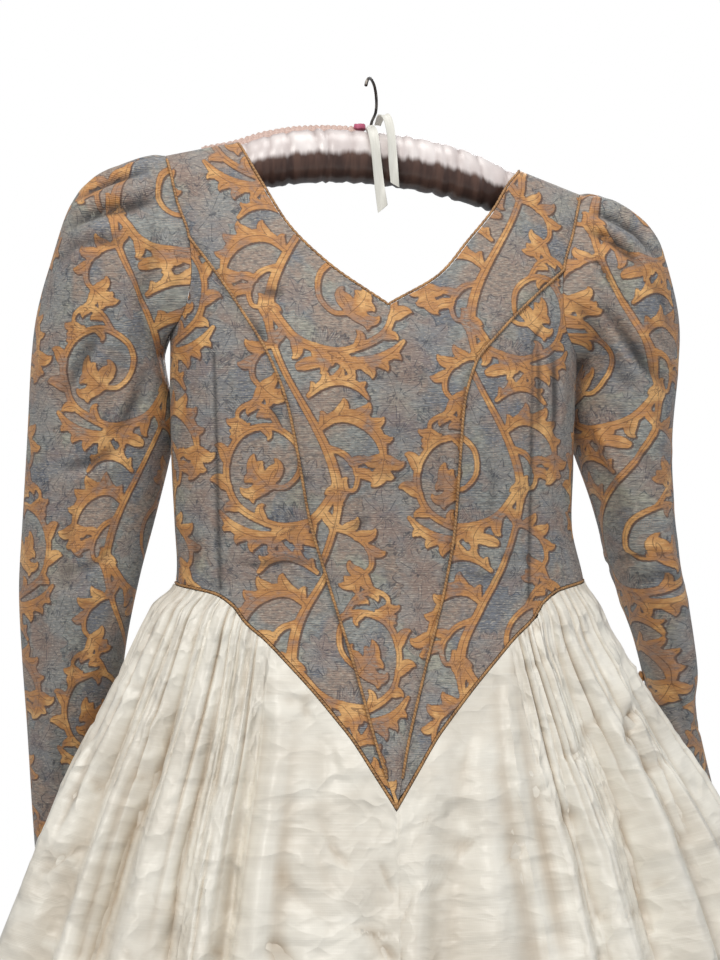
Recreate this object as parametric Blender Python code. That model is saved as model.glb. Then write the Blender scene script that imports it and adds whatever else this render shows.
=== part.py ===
"""A wedding dress with a brocade bodice and a silk skirt, on a padded hanger.

Metres, +Z up. The origin is the inner crown of the hook, the front faces -Y and +X is the
photo's right. "drop" is a distance below the origin. All the cloth from the shoulders to the
hem follows one smooth form, whose ring at each drop has an angle of 0 at the right side,
90 degrees at the front, 180 at the left side and -90 at the back.
"""
import math

import bmesh
import bpy
from mathutils import Vector

BROCADE = 0.0015
SILK = 0.0014
SEAM_GAP = 0.0003
PIPING_RADIUS = 0.0013
PIPING_SIDES = 5
PIPING_SINK = 0.0005
PIPING_END_GAP = 0.0008
PIPING_START_DROP = 0.606
MITER_LIMIT = 0.4
TINY = 1e-6

FRONT_MIDDLE = 0.0035
HEM_DROP = 1.470
SHOULDER_DROP = 0.0685
SHOULDER_TIP_DROP = 0.0855
SHOULDER_MIDDLE = 0.006
SHOULDER_REACH = 0.129
SHOULDER_SLOPE = 0.288
ARCH_HEIGHT = 0.030
HANG_TILT = 0.0655
TILT_FULL_DROP = 0.160
TILT_NONE_DROP = 0.450
WAIST_POINT_DROP = 0.626
UNDERARM_DROP = 0.241
SIDE_WAIST_DROP = 0.449
BACK_WAIST_DROP = 0.452
NECK_POINT_DROP = 0.212
BACK_NECK_DROP = 0.290

STRAP_COLUMNS = 7
SIDE_COLUMNS = 8
BACK_COLUMNS = 7

GATHERS = 36
SMOOTH_COLUMNS = 9
SMOOTH_LENGTH = 0.171
FRONT_PANEL_COLUMN = 17
SIDE_PANEL_COLUMN = 51
GATHER_DEPTH = 0.0020
GATHER_LENGTH = 0.07
GATHER_FADE = 0.22
PUFF = 0.005
PUFF_LENGTH = 0.02
FOLD_COLUMNS = 6.3
FOLD_PHASE = {-1: 2.3, 1: 0.95}
FOLD_DEPTH = (0.009, 0.015)
FOLD_START = (0.0, 0.1)
FOLD_LENGTH = (0.2, 0.9)
SMOOTH_COLUMN_WIDTH = 1.5
HEM_SWAY = 0.12
SKIRT_ROWS = (0.0, 0.013, 0.036, 0.075, 0.14, 0.24, 0.38, 0.56, 0.78, 1.0)

SLEEVE_GAP = 0.0004
SLEEVE_RINGS = (0, 0.45, 1, 1.6, 2.3, 3.1, 4, 5, 6, 7, 8, 9, 10, 11, 12, 13)
TUCK_DEPTH = 0.0035
TUCKS_ROUND = 7

BUTTON_RADIUS = 0.0055
BUTTON_HEIGHT = 0.0042
BUTTON_SIDES = 8
BUTTON_PROFILE = ((0.80, 0.0), (1.0, 0.35), (0.62, 0.85), (0.2, 1.0))
WRIST_BUTTONS = 6
WRIST_BUTTON_RING = 10.45
WRIST_BUTTON_PITCH = 0.42
BACK_BUTTONS = 7
BACK_BUTTON_PITCH = 0.0225
BACK_BUTTON_DROP = 0.304

WIRE = 0.003
HOOK_RADIUS = 0.0175
HOOK_TURN = math.radians(65)
HOOK_ARC = (math.radians(-52), math.radians(155))
HOOK_POINTS = 22
HANGER_SIDES = 12
HOOK_SIDES = 6
HOOK_SHANK = ((0.0065, -0.0335), (0.0025, -0.0368), (0.0003, -0.0398), (0.0, -0.0430))
RIBBON = 0.0008
TAIL_WIDTH = 0.0085
LOOP_WIDTH = 0.0077
KNOT = ((0.0036, -0.0412), (0.0045, -0.0440), (0.0036, -0.0464))
KNOT_SIDES = 8
ROSE_X = -0.0105
ROSE_FLATTENING = 0.8
ROSE = ((0.0035, -0.0457), (0.0056, -0.0438), (0.0052, -0.0412), (0.0026, -0.0394))


def monotone_slopes(keys, values):
    """Slopes that keep a cubic curve through the points free of overshoot."""
    steps = [(b - a) / (q - p) for p, q, a, b in zip(keys, keys[1:], values, values[1:])]
    slopes = [steps[0]]
    for before, after in zip(steps, steps[1:]):
        slopes.append(0.0 if before * after <= 0 else 2 * before * after / (before + after))
    return slopes + [steps[-1]]


class Table:
    """Rows under named columns, read smoothly along the first column."""

    def __init__(self, columns, rows):
        self.keys = [row[0] for row in rows]
        self.values = {name: [row[i] for row in rows] for i, name in enumerate(columns)}
        self.slopes = {name: monotone_slopes(self.keys, v) for name, v in self.values.items()}

    def at(self, name, key):
        keys, values, slopes = self.keys, self.values[name], self.slopes[name]
        key = min(max(key, keys[0]), keys[-1])
        i = max(k for k in range(len(keys) - 1) if keys[k] <= key)
        width = keys[i + 1] - keys[i]
        t = (key - keys[i]) / width
        start = (1 + 2 * t) * (1 - t) ** 2 * values[i] + t * (1 - t) ** 2 * width * slopes[i]
        return start + t * t * (3 - 2 * t) * values[i + 1] - t * t * (1 - t) * width * slopes[i + 1]


# The form's ring at each drop: its middle, its reach to each side and its depth each way.
FORM = Table(
    ("drop", "middle", "left", "right", "front", "back", "power"),
    (
        (0.068, 0.004, 0.226, 0.226, 0.030, 0.030, 2.3),
        (0.100, 0.004, 0.222, 0.222, 0.034, 0.034, 2.3),
        (0.130, 0.004, 0.214, 0.214, 0.044, 0.040, 2.3),
        (0.165, 0.004, 0.205, 0.205, 0.059, 0.047, 2.3),
        (0.210, 0.004, 0.192, 0.192, 0.076, 0.054, 2.3),
        (0.241, 0.004, 0.184, 0.184, 0.085, 0.057, 2.3),
        (0.290, 0.003, 0.183, 0.183, 0.091, 0.059, 2.3),
        (0.340, 0.002, 0.181, 0.183, 0.087, 0.057, 2.3),
        (0.400, 0.004, 0.180, 0.180, 0.079, 0.053, 2.3),
        (0.450, 0.009, 0.184, 0.186, 0.077, 0.055, 2.3),
        (0.470, 0.009, 0.197, 0.194, 0.079, 0.062, 2.3),
        (0.500, 0.007, 0.209, 0.208, 0.087, 0.074, 2.2),
        (0.560, 0.008, 0.238, 0.241, 0.102, 0.096, 2.1),
        (0.620, 0.006, 0.266, 0.284, 0.118, 0.114, 2.0),
        (0.680, 0.005, 0.290, 0.322, 0.134, 0.130, 2.0),
        (0.777, 0.003, 0.326, 0.368, 0.164, 0.160, 2.0),
        (0.900, 0.000, 0.372, 0.414, 0.204, 0.206, 2.0),
        (1.100, 0.000, 0.438, 0.474, 0.266, 0.274, 2.0),
        (1.300, 0.000, 0.496, 0.522, 0.326, 0.338, 2.0),
        (1.470, 0.000, 0.540, 0.560, 0.372, 0.386, 2.0),
    ),
)

# Seams, as X at each drop on the photo's left and right.
NECK = Table(
    ("drop", "left", "right"),
    (
        (0.0685, -0.1220, 0.1380),
        (0.088, -0.1135, 0.1215),
        (0.112, -0.1000, 0.1070),
        (0.147, -0.0790, 0.0790),
        (0.1795, -0.0460, 0.0520),
        (0.212, FRONT_MIDDLE, FRONT_MIDDLE),
    ),
)
BACK_NECK = Table(
    ("drop", "left", "right"),
    (
        (0.0685, -0.1220, 0.1380),
        (0.100, -0.1215, 0.1370),
        (0.135, -0.1130, 0.1300),
        (0.170, -0.0950, 0.1090),
        (0.210, -0.0660, 0.0780),
        (0.250, -0.0340, 0.0430),
        (0.290, FRONT_MIDDLE, FRONT_MIDDLE),
    ),
)
ARMHOLE = Table(
    ("drop", "left", "right"),
    (
        (0.0855, -0.1840, 0.1920),
        (0.105, -0.1790, 0.1850),
        (0.1285, -0.1740, 0.1785),
        (0.162, -0.1635, 0.1675),
        (0.190, -0.1615, 0.1655),
        (0.215, -0.1650, 0.1680),
        (0.232, -0.1720, 0.1780),
        (0.241, -0.1800, 0.1880),
    ),
)
PRINCESS = Table(
    ("drop", "left", "right"),
    (
        (0.162, -0.1635, 0.1675),
        (0.195, -0.1390, 0.1320),
        (0.225, -0.1190, 0.1030),
        (0.257, -0.0996, 0.0775),
        (0.297, -0.0836, 0.0665),
        (0.340, -0.0740, 0.0640),
        (0.394, -0.0635, 0.0615),
        (0.449, -0.0470, 0.0530),
        (0.519, -0.0266, 0.0325),
        (0.580, -0.0110, 0.0150),
        (0.6205, 0.0009, 0.0061),
    ),
)
# The V waist: how far down it lies, by the share of the way from the point to the side.
WAIST = Table(
    ("across", "drop"),
    (
        (0.0, WAIST_POINT_DROP),
        (0.091, 0.600),
        (0.187, 0.573),
        (0.235, 0.562),
        (0.364, 0.534),
        (0.481, 0.511),
        (0.578, 0.493),
        (0.668, 0.479),
        (0.727, 0.465),
        (0.818, 0.455),
        (1.0, SIDE_WAIST_DROP),
    ),
)
WAIST_STATIONS = (0.091, 0.187, 0.30, 0.43, 0.578, 0.71, 0.84, 1.0)
BACK_WAIST_STATIONS = (0.83, 0.66, 0.5, 0.33, 0.16, 0.0)

# Rows of the wall above the neck point, as shares of the way down from the shoulder line: along
# the neckline, and along the armhole as far as the princess seam in front or the underarm behind.
STRAP_NECK_ROWS = (0.0, 0.014, 0.050, 0.114, 0.214, 0.413, 0.616, 0.815, 1.0)
STRAP_ARM_ROWS = (0.0, 0.024, 0.081, 0.183, 0.340, 0.654, 1.0)
BACK_NECK_ROWS = (0.0, 0.011, 0.037, 0.084, 0.158, 0.289, 0.447, 0.605, 0.763, 0.895, 1.0)
BACK_ARM_ROWS = (0.0, 0.012, 0.040, 0.090, 0.167, 0.322, 0.489, 0.656, 0.823, 0.932, 1.0)
BACK_STRAP_DROP = 0.2585
BACK_V_ROWS = 3
# Drops of the rows along the princess seams, from the armhole to the waist point.
PRINCESS_ROWS = (
    0.162, 0.187, 0.212, 0.237, 0.263, 0.290, 0.320, 0.352,
    0.386, 0.420, 0.455, 0.490, 0.525, 0.558, 0.590, 0.6205,
)

# Sleeve rings: the outer and inner silhouette points, and half the depth between them.
SLEEVE_COLUMNS = ("out_x", "out_y", "out_z", "in_x", "in_y", "in_z", "depth")
LEFT_SLEEVE = (
    (-0.209, 0.000, -0.079, -0.184, 0.000, -0.247, 0.047),
    (-0.243, 0.000, -0.096, -0.185, 0.006, -0.253, 0.056),
    (-0.266, 0.000, -0.121, -0.183, 0.014, -0.261, 0.060),
    (-0.283, 0.000, -0.170, -0.180, 0.022, -0.275, 0.061),
    (-0.295, 0.003, -0.215, -0.177, 0.030, -0.293, 0.059),
    (-0.300, 0.005, -0.262, -0.176, 0.034, -0.318, 0.056),
    (-0.304, 0.012, -0.322, -0.182, 0.032, -0.350, 0.051),
    (-0.309, 0.024, -0.392, -0.193, 0.028, -0.396, 0.045),
    (-0.313, 0.038, -0.455, -0.207, 0.026, -0.450, 0.041),
    (-0.312, 0.052, -0.520, -0.219, 0.047, -0.512, 0.037),
    (-0.309, 0.069, -0.590, -0.227, 0.081, -0.585, 0.032),
    (-0.306, 0.084, -0.655, -0.233, 0.113, -0.655, 0.028),
    (-0.303, 0.112, -0.735, -0.240, 0.146, -0.745, 0.024),
)
RIGHT_SLEEVE = (
    (0.216, 0.000, -0.101, 0.192, 0.000, -0.251, 0.047),
    (0.243, 0.000, -0.117, 0.194, 0.006, -0.257, 0.055),
    (0.264, 0.000, -0.138, 0.193, 0.013, -0.264, 0.059),
    (0.280, 0.000, -0.178, 0.192, 0.020, -0.277, 0.061),
    (0.289, 0.002, -0.217, 0.190, 0.026, -0.294, 0.061),
    (0.289, 0.004, -0.262, 0.190, 0.030, -0.318, 0.061),
    (0.285, 0.010, -0.318, 0.198, 0.026, -0.342, 0.061),
    (0.288, 0.020, -0.372, 0.215, 0.026, -0.386, 0.058),
    (0.302, 0.035, -0.448, 0.239, 0.035, -0.455, 0.055),
    (0.321, 0.052, -0.517, 0.267, 0.056, -0.520, 0.050),
    (0.331, 0.068, -0.577, 0.289, 0.082, -0.587, 0.044),
    (0.347, 0.082, -0.637, 0.302, 0.110, -0.652, 0.038),
    (0.369, 0.096, -0.705, 0.324, 0.134, -0.728, 0.031),
)

# Hanger rings in the hanger's own line, before it tilts.
HANGER = Table(
    ("out", "top", "bottom", "depth"),
    (
        (0.000, 0.0470, 0.0927, 0.0215),
        (0.030, 0.0478, 0.0940, 0.0215),
        (0.064, 0.0515, 0.0980, 0.0215),
        (0.095, 0.0590, 0.1045, 0.0210),
        (0.125, 0.0708, 0.1105, 0.0190),
        (0.150, 0.0780, 0.1130, 0.0165),
        (0.168, 0.0850, 0.1110, 0.0110),
        (0.174, 0.0920, 0.1040, 0.0050),
    ),
)
HANGER_MIDDLE = 0.004
HANGER_RINGS = (0.174, 0.168, 0.150, 0.125, 0.095, 0.064, 0.030)

MATERIALS = {
    "brocade": ((0.30, 0.26, 0.23, 1), 0.62, 0.0),
    "gold_cord": ((0.42, 0.27, 0.11, 1), 0.50, 0.0),
    "silk": ((0.80, 0.74, 0.62, 1), 0.45, 0.0),
    "satin": ((0.72, 0.64, 0.62, 1), 0.35, 0.0),
    "ribbon": ((0.79, 0.75, 0.66, 1), 0.40, 0.0),
    "steel": ((0.20, 0.18, 0.17, 1), 0.30, 1.0),
    "rose": ((0.40, 0.05, 0.12, 1), 0.60, 0.0),
}


def material(name):
    if name in bpy.data.materials:
        return bpy.data.materials[name]
    colour, roughness, metallic = MATERIALS[name]
    made = bpy.data.materials.new(name)
    made.use_nodes = True
    shader = made.node_tree.nodes["Principled BSDF"]
    shader.inputs["Base Color"].default_value = colour
    shader.inputs["Roughness"].default_value = roughness
    shader.inputs["Metallic"].default_value = metallic
    return made


def add_object(name, vertices, faces, finish):
    """Adds a closed mesh whose faces look outward."""
    mesh = bpy.data.meshes.new(name)
    mesh.from_pydata([tuple(v) for v in vertices], [], faces)
    shape = bmesh.new()
    shape.from_mesh(mesh)
    bmesh.ops.recalc_face_normals(shape, faces=shape.faces)
    shape.to_mesh(mesh)
    shape.free()
    mesh.materials.append(material(finish))
    made = bpy.data.objects.new(name, mesh)
    bpy.context.scene.collection.objects.link(made)
    return made


def smoothstep(t):
    t = min(max(t, 0.0), 1.0)
    return t * t * (3 - 2 * t)


def lerp(a, b, t):
    return a + (b - a) * t


def side_name(side):
    return "left" if side < 0 else "right"


def shoulder_drop(x):
    """Drop of the shoulder line at x."""
    return SHOULDER_DROP + SHOULDER_SLOPE * max(0.0, abs(x - SHOULDER_MIDDLE) - SHOULDER_REACH)


def form(angle, drop):
    """A point of the form. Near the shoulder line its front and back arch over to meet."""
    cosine, sine = math.cos(angle), math.sin(angle)
    wide = FORM.at("right" if cosine > 0 else "left", drop)
    deep = FORM.at("front" if sine > 0 else "back", drop)
    root = 2 / FORM.at("power", drop)
    x = FORM.at("middle", drop) + math.copysign(wide * abs(cosine) ** root, cosine)
    y = -math.copysign(deep * abs(sine) ** root, sine)
    below = min(max((drop - shoulder_drop(x)) / ARCH_HEIGHT, 0.0), 1.0)
    y *= math.sqrt(1 - (1 - below) ** 2)
    tilt = 1 - smoothstep((drop - TILT_FULL_DROP) / (TILT_NONE_DROP - TILT_FULL_DROP))
    return Vector((x, y, -drop - HANG_TILT * tilt * x))


def form_angle(x, drop, back=False):
    """The angle at which the form's ring passes x."""
    share = x - FORM.at("middle", drop)
    wide = FORM.at("right" if share > 0 else "left", drop)
    share = min(abs(share) / wide, 1.0) ** (FORM.at("power", drop) / 2)
    angle = math.acos(math.copysign(share, x - FORM.at("middle", drop)))
    return -angle if back else angle


def form_normal(angle, drop):
    """The outward normal of the form."""
    turn, step = 0.002, 0.0005
    x = form(angle, drop).x
    top = shoulder_drop(x)
    across = form(angle + turn, drop) - form(angle - turn, drop)
    down = form(angle, max(drop, top) + step) - form(angle, max(drop - step, top))
    normal = across.cross(down).normalized()
    if drop <= top + step / 10:
        normal.y = 0.0
        normal.normalize()
    return normal


def cloth_point(x, drop, back=False):
    """The outer and inner points of the brocade on the form."""
    angle = form_angle(x, drop, back)
    normal = form_normal(angle, drop)
    outer = form(angle, drop)
    if drop <= shoulder_drop(x) + TINY:
        outer.y += SEAM_GAP if back else -SEAM_GAP
    return outer, outer - normal * BROCADE


def wall(name, patches, finish):
    """A closed wall from patches of (outer, inner) points. Points that patches share are joined."""
    outer, inner, faces, found = [], [], [], {}

    def index(pair):
        key = tuple(round(c, 6) for c in pair[0])
        if key not in found:
            found[key] = len(outer)
            outer.append(pair[0])
            inner.append(pair[1])
        return found[key]

    for rows in patches:
        for upper, lower in zip(rows, rows[1:]):
            for i in range(len(upper) - 1):
                corners = [index(p) for p in (upper[i], upper[i + 1], lower[i + 1], lower[i])]
                corners = list(dict.fromkeys(corners))
                if len(corners) > 2:
                    faces.append(corners)
    edges = {}
    for face in faces:
        for a, b in zip(face, face[1:] + face[:1]):
            edges[(a, b)] = edges.get((a, b), 0) + 1
    count = len(outer)
    rim = [(b, a, a + count, b + count) for a, b in edges if (b, a) not in edges]
    inside = [[i + count for i in reversed(face)] for face in faces]
    return add_object(name, outer + inner, faces + inside + rim, finish)


def tube(name, points, radius, sides, finish):
    """A round cord with flat ends through the points."""
    rings = []
    turned = None
    for i, point in enumerate(points):
        along = (points[min(i + 1, len(points) - 1)] - points[max(i - 1, 0)]).normalized()
        if turned is None:
            turned = along.orthogonal().normalized()
        turned = (turned - along * turned.dot(along)).normalized()
        beside = along.cross(turned)
        ring = []
        for k in range(sides):
            a = math.tau * k / sides
            ring.append(point + (turned * math.cos(a) + beside * math.sin(a)) * radius)
        rings.append(ring)
    return loft(name, rings, finish)


def loft(name, rings, finish):
    """A closed solid through rings of as many points each, with flat ends."""
    sides = len(rings[0])
    vertices = [p for ring in rings for p in ring]
    faces = [list(range(sides)), list(range(len(vertices) - sides, len(vertices)))]
    for r in range(len(rings) - 1):
        for k in range(sides):
            a, b = r * sides + k, r * sides + (k + 1) % sides
            faces.append([a, b, b + sides, a + sides])
    return add_object(name, vertices, faces, finish)


def moved_line(points, normals, distance):
    """The line moved within its surface, to the left of its direction seen from outside."""
    moved = []
    for i, (point, normal) in enumerate(zip(points, normals)):
        before = (point - points[i - 1]).normalized() if i else None
        after = (points[i + 1] - point).normalized() if i + 1 < len(points) else None
        sides = [normal.cross(d).normalized() for d in (before, after) if d is not None]
        way = sum(sides, Vector()).normalized()
        moved.append(point + way * (distance / max(way.dot(sides[0]), MITER_LIMIT)))
    return moved


def sunk(points, normals, depth):
    return [p - n * depth for p, n in zip(points, normals)]


def strap_row(side, row, back=False):
    """X and drop at each column of one row between the neck and the armhole."""
    name = side_name(side)
    neck = BACK_NECK if back else NECK
    top_x = neck.at(name, SHOULDER_DROP)
    low = BACK_STRAP_DROP if back else NECK_POINT_DROP
    inner = lerp(shoulder_drop(top_x), low, (BACK_NECK_ROWS if back else STRAP_NECK_ROWS)[row])
    x_in = neck.at(name, inner) if row else top_x
    x_out, outer = arm_edge(side, row, back)
    columns = BACK_COLUMNS if back else STRAP_COLUMNS
    shares = [i / columns for i in range(columns + 1)]
    return [(lerp(x_in, x_out, s), lerp(inner, outer, s)) for s in shares]


def arm_edge(side, row, back=False):
    """X and drop of the armhole at one row, or of the princess seam below it."""
    name = side_name(side)
    tip = ARMHOLE.at(name, SHOULDER_TIP_DROP)
    if row == 0:
        return tip, shoulder_drop(tip)
    if back:
        drop = lerp(shoulder_drop(tip), UNDERARM_DROP, BACK_ARM_ROWS[row])
        return ARMHOLE.at(name, drop), drop
    if row < len(STRAP_ARM_ROWS):
        drop = lerp(shoulder_drop(tip), PRINCESS_ROWS[0], STRAP_ARM_ROWS[row])
        return ARMHOLE.at(name, drop), drop
    drop = PRINCESS_ROWS[row + 1 - len(STRAP_ARM_ROWS)]
    return princess_x(side, drop), drop


def princess_x(side, drop):
    return PRINCESS.at(side_name(side), drop)


def centre_front():
    """The front panel between the princess seams, with both shoulders."""
    patches = []
    for side in (-1, 1):
        rows = []
        for k in range(len(STRAP_NECK_ROWS)):
            places = strap_row(side, k)
            places[-1] = (places[-1][0] - side * SEAM_GAP / 2, places[-1][1])
            rows.append([cloth_point(x, d) for x, d in places])
        rows[-1] = lower_front_row(side, NECK_POINT_DROP)
        for drop in PRINCESS_ROWS[3:]:
            rows.append(lower_front_row(side, drop))
        patches.append([row[::side] for row in rows])
    wall("bodice_centre_front", patches, "brocade")


def lower_front_row(side, drop):
    edge = princess_x(side, drop) - side * SEAM_GAP / 2
    shares = [i / STRAP_COLUMNS for i in range(STRAP_COLUMNS + 1)]
    return [cloth_point(lerp(FRONT_MIDDLE, edge, s), drop) for s in shares]


def waist_place(side, across):
    """Angle and drop of the V waist at a share of the way to the side."""
    if across >= 1.0:
        return (0.0 if side > 0 else math.pi), SIDE_WAIST_DROP
    drop = WAIST.at("drop", across)
    reach = side * FORM.at(side_name(side), SIDE_WAIST_DROP)
    edge = FORM.at("middle", SIDE_WAIST_DROP) + reach
    return form_angle(lerp(FRONT_MIDDLE, edge, across), drop), drop


def armhole_places(side):
    """Angles and drops down the armhole's front, from the princess seam to the underarm."""
    places = []
    for i in range(SIDE_COLUMNS + 1):
        turn = math.radians(lerp(89, 180, i / SIDE_COLUMNS))
        middle = (SHOULDER_TIP_DROP + UNDERARM_DROP) / 2
        drop = middle - (UNDERARM_DROP - SHOULDER_TIP_DROP) / 2 * math.cos(turn)
        if i == 0:
            drop = PRINCESS_ROWS[0]
        x = ARMHOLE.at(side_name(side), drop)
        angle = form_angle(x, drop) if i < SIDE_COLUMNS else (0.0 if side > 0 else math.pi)
        places.append((angle, drop))
    return places


def side_front(side):
    """The panel between the princess seam, the armhole, the side and the V waist."""
    steps = len(PRINCESS_ROWS) - 1
    across = (0.0,) + WAIST_STATIONS
    top = armhole_places(side)
    bottom = [waist_place(side, a) for a in across]
    lowest = PRINCESS_ROWS[-1]
    bottom[0] = (form_angle(princess_x(side, lowest), lowest), lowest)
    side_angle = 0.0 if side > 0 else math.pi
    rows = []
    for j, drop in enumerate(PRINCESS_ROWS):
        t = j / steps
        inner = (form_angle(princess_x(side, drop), drop), drop)
        outer = (side_angle, lerp(UNDERARM_DROP, SIDE_WAIST_DROP, t))
        row = []
        for i in range(SIDE_COLUMNS + 1):
            s = i / SIDE_COLUMNS
            place = []
            for c in (0, 1):
                edges = lerp(inner[c], outer[c], s) + lerp(top[i][c], bottom[i][c], t)
                upper = lerp(top[0][c], top[-1][c], s)
                lower = lerp(bottom[0][c], bottom[-1][c], s)
                place.append(edges - lerp(upper, lower, t))
            angle, row_drop = place
            outer_point = form(angle, row_drop)
            normal = form_normal(angle, row_drop)
            if i == 0:
                outer_point.x += side * SEAM_GAP / 2
            if i == SIDE_COLUMNS:
                outer_point.y -= SEAM_GAP / 2
            row.append((outer_point, outer_point - normal * BROCADE))
        rows.append(row)
    wall(f"bodice_side_front_{side_name(side)}", [rows], "brocade")


def back(side):
    """One back, from the shoulder and the back neck to the waist."""
    name = side_name(side)
    rows = []
    for k in range(len(BACK_NECK_ROWS)):
        rows.append([cloth_point(x, d, True) for x, d in strap_row(side, k, True)])
    side_angle = 0.0 if side > 0 else -math.pi
    steps = len(PRINCESS_ROWS) - 1
    for j in range(steps + 1):
        outer = lerp(UNDERARM_DROP, SIDE_WAIST_DROP, j / steps)
        inner = lerp(BACK_STRAP_DROP, BACK_NECK_DROP, j / BACK_V_ROWS)
        x = BACK_NECK.at(name, inner)
        if j >= BACK_V_ROWS:
            inner = lerp(BACK_NECK_DROP, BACK_WAIST_DROP, (j - BACK_V_ROWS) / (steps - BACK_V_ROWS))
            x = FRONT_MIDDLE
        start = form_angle(x, inner, True)
        row = []
        for i in range(BACK_COLUMNS + 1):
            s = i / BACK_COLUMNS
            angle, drop = lerp(start, side_angle, s), lerp(inner, outer, s)
            point = form(angle, drop)
            normal = form_normal(angle, drop)
            if i == 0 and j >= BACK_V_ROWS:
                point.x += side * SEAM_GAP / 2
            if i == BACK_COLUMNS:
                point.y += SEAM_GAP / 2
            row.append((point, point - normal * BROCADE))
        if j == 0:
            rows[-1] = row
        else:
            rows.append(row)
    wall(f"bodice_back_{name}", [rows], "brocade")


def armhole_loop(side):
    """Angles and drops round the armhole, from the shoulder tip down the front and up the back."""
    front = [arm_edge(side, k) for k in range(len(STRAP_ARM_ROWS) - 1)]
    places = [(form_angle(x, d), d) for x, d in front] + armhole_places(side)
    rear = [arm_edge(side, k, True) for k in range(len(BACK_ARM_ROWS) - 2, 0, -1)]
    return places + [(form_angle(x, d, True), d) for x, d in rear]


def piping_front_seams(side):
    """The cord over one princess seam and on up the armhole to the shoulder."""
    drops = (PIPING_START_DROP,) + PRINCESS_ROWS[-2::-1]
    places = [(form_angle(princess_x(side, d), d), d) for d in drops]
    upper = [arm_edge(side, k) for k in range(len(STRAP_ARM_ROWS) - 2, 1, -1)]
    places += [(form_angle(x, d), d) for x, d in upper]
    lift = PIPING_RADIUS + SEAM_GAP
    points = [form(a, d) + form_normal(a, d) * lift for a, d in places]
    tube(f"piping_princess_{side_name(side)}", points, PIPING_RADIUS, PIPING_SIDES, "gold_cord")


def neck_line(is_back):
    """Points and normals round a neckline from the left shoulder to the right one."""
    lowest = BACK_NECK_DROP if is_back else NECK_POINT_DROP
    line = []
    for side in (-1, 1):
        if is_back:
            rows = [strap_row(side, k, True)[0] for k in range(len(BACK_NECK_ROWS))]
            drops = [lerp(BACK_STRAP_DROP, lowest, k / BACK_V_ROWS) for k in range(1, BACK_V_ROWS)]
            rows += [(BACK_NECK.at(side_name(side), d), d) for d in drops]
        else:
            rows = [strap_row(side, k)[0] for k in range(len(STRAP_NECK_ROWS) - 1)]
        half = [(form_angle(x, d, is_back), d) for x, d in rows]
        line += half if side < 0 else [(form_angle(FRONT_MIDDLE, lowest, is_back), lowest)] + half[::-1]
    points = [form(a, d) for a, d in line]
    normals = [form_normal(a, d) for a, d in line]
    gap = PIPING_END_GAP if is_back else -PIPING_END_GAP
    points[0].y += gap
    points[-1].y += gap
    return points, normals


def piping_neck():
    for name, is_back in (("front", False), ("back", True)):
        points, normals = neck_line(is_back)
        way = -1 if is_back else 1
        line = moved_line(points, normals, way * (PIPING_RADIUS + SEAM_GAP))
        line = sunk(line, normals, PIPING_SINK)
        tube(f"piping_neck_{name}", line, PIPING_RADIUS, PIPING_SIDES, "gold_cord")


def waist_line(side):
    """Angles and drops of the waist from the front point round to the centre back."""
    places = [(form_angle(FRONT_MIDDLE, WAIST_POINT_DROP), WAIST_POINT_DROP)]
    places += [waist_place(side, a) for a in WAIST_STATIONS]
    for share in BACK_WAIST_STATIONS:
        drop = lerp(BACK_WAIST_DROP, SIDE_WAIST_DROP, share)
        start = form_angle(FRONT_MIDDLE, drop, True)
        end = 0.0 if side > 0 else -math.pi
        places.append((lerp(start, end, share), drop))
    return places


def moved_waist(side, distance, depth):
    """The waist seam's line moved down the cloth, from the front point to the centre back."""
    places = waist_line(side)
    points = [form(a, d) for a, d in places]
    normals = [form_normal(a, d) for a, d in places]
    first = points[1].copy()
    first.x = 2 * points[0].x - first.x
    last = points[-2].copy()
    last.x = 2 * points[-1].x - last.x
    line = moved_line([first] + points + [last], [normals[0]] + normals + [normals[-1]], -side * distance)
    return sunk(line[1:-1], normals, depth), normals


def piping_waist():
    front = len(WAIST_STATIONS) + 1
    halves = {}
    for side in (-1, 1):
        halves[side] = moved_waist(side, PIPING_RADIUS + SEAM_GAP, PIPING_SINK)[0]
    whole = halves[-1][front - 1 : 0 : -1] + halves[1][:front]
    rear = halves[-1][front - 1 : -1] + halves[1][: front - 2 : -1]
    for name, line, way in (("front", whole, -1), ("back", rear, 1)):
        apart = Vector((0, way * PIPING_END_GAP, 0))
        line = [line[0] + apart] + line[1:-1] + [line[-1] + apart]
        tube(f"piping_waist_{name}", line, PIPING_RADIUS, PIPING_SIDES, "gold_cord")


def gather(column, below, side):
    """How far the skirt stands off the form at a column, a distance below the waist seam."""
    gathered = column - SMOOTH_COLUMNS
    cloth = gathered if gathered > 0 else gathered * SMOOTH_COLUMN_WIDTH
    busy = smoothstep((gathered + 1) / 5)
    fine = math.cos(math.pi * gathered) * GATHER_DEPTH * busy
    fine *= lerp(0.45, 1.0, smoothstep(below / 0.03))
    fine *= 1 - smoothstep((below - GATHER_LENGTH) / GATHER_FADE)
    phase = FOLD_PHASE[side]
    wave = math.sin(math.tau * cloth / FOLD_COLUMNS + phase + 0.9 * math.sin(0.37 * cloth))
    wave += 0.35 * math.sin(math.tau * cloth / (FOLD_COLUMNS * 2.7) + 2 * phase)
    depth = 0.0
    for most, start, length in zip(FOLD_DEPTH, FOLD_START, FOLD_LENGTH):
        depth += most * smoothstep((below - start) / length)
    coarse = wave * depth * lerp(0.55, 1.0, busy) * smoothstep(column / 3)
    return fine + coarse + PUFF * busy * (1 - math.exp(-below / PUFF_LENGTH))


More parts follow.
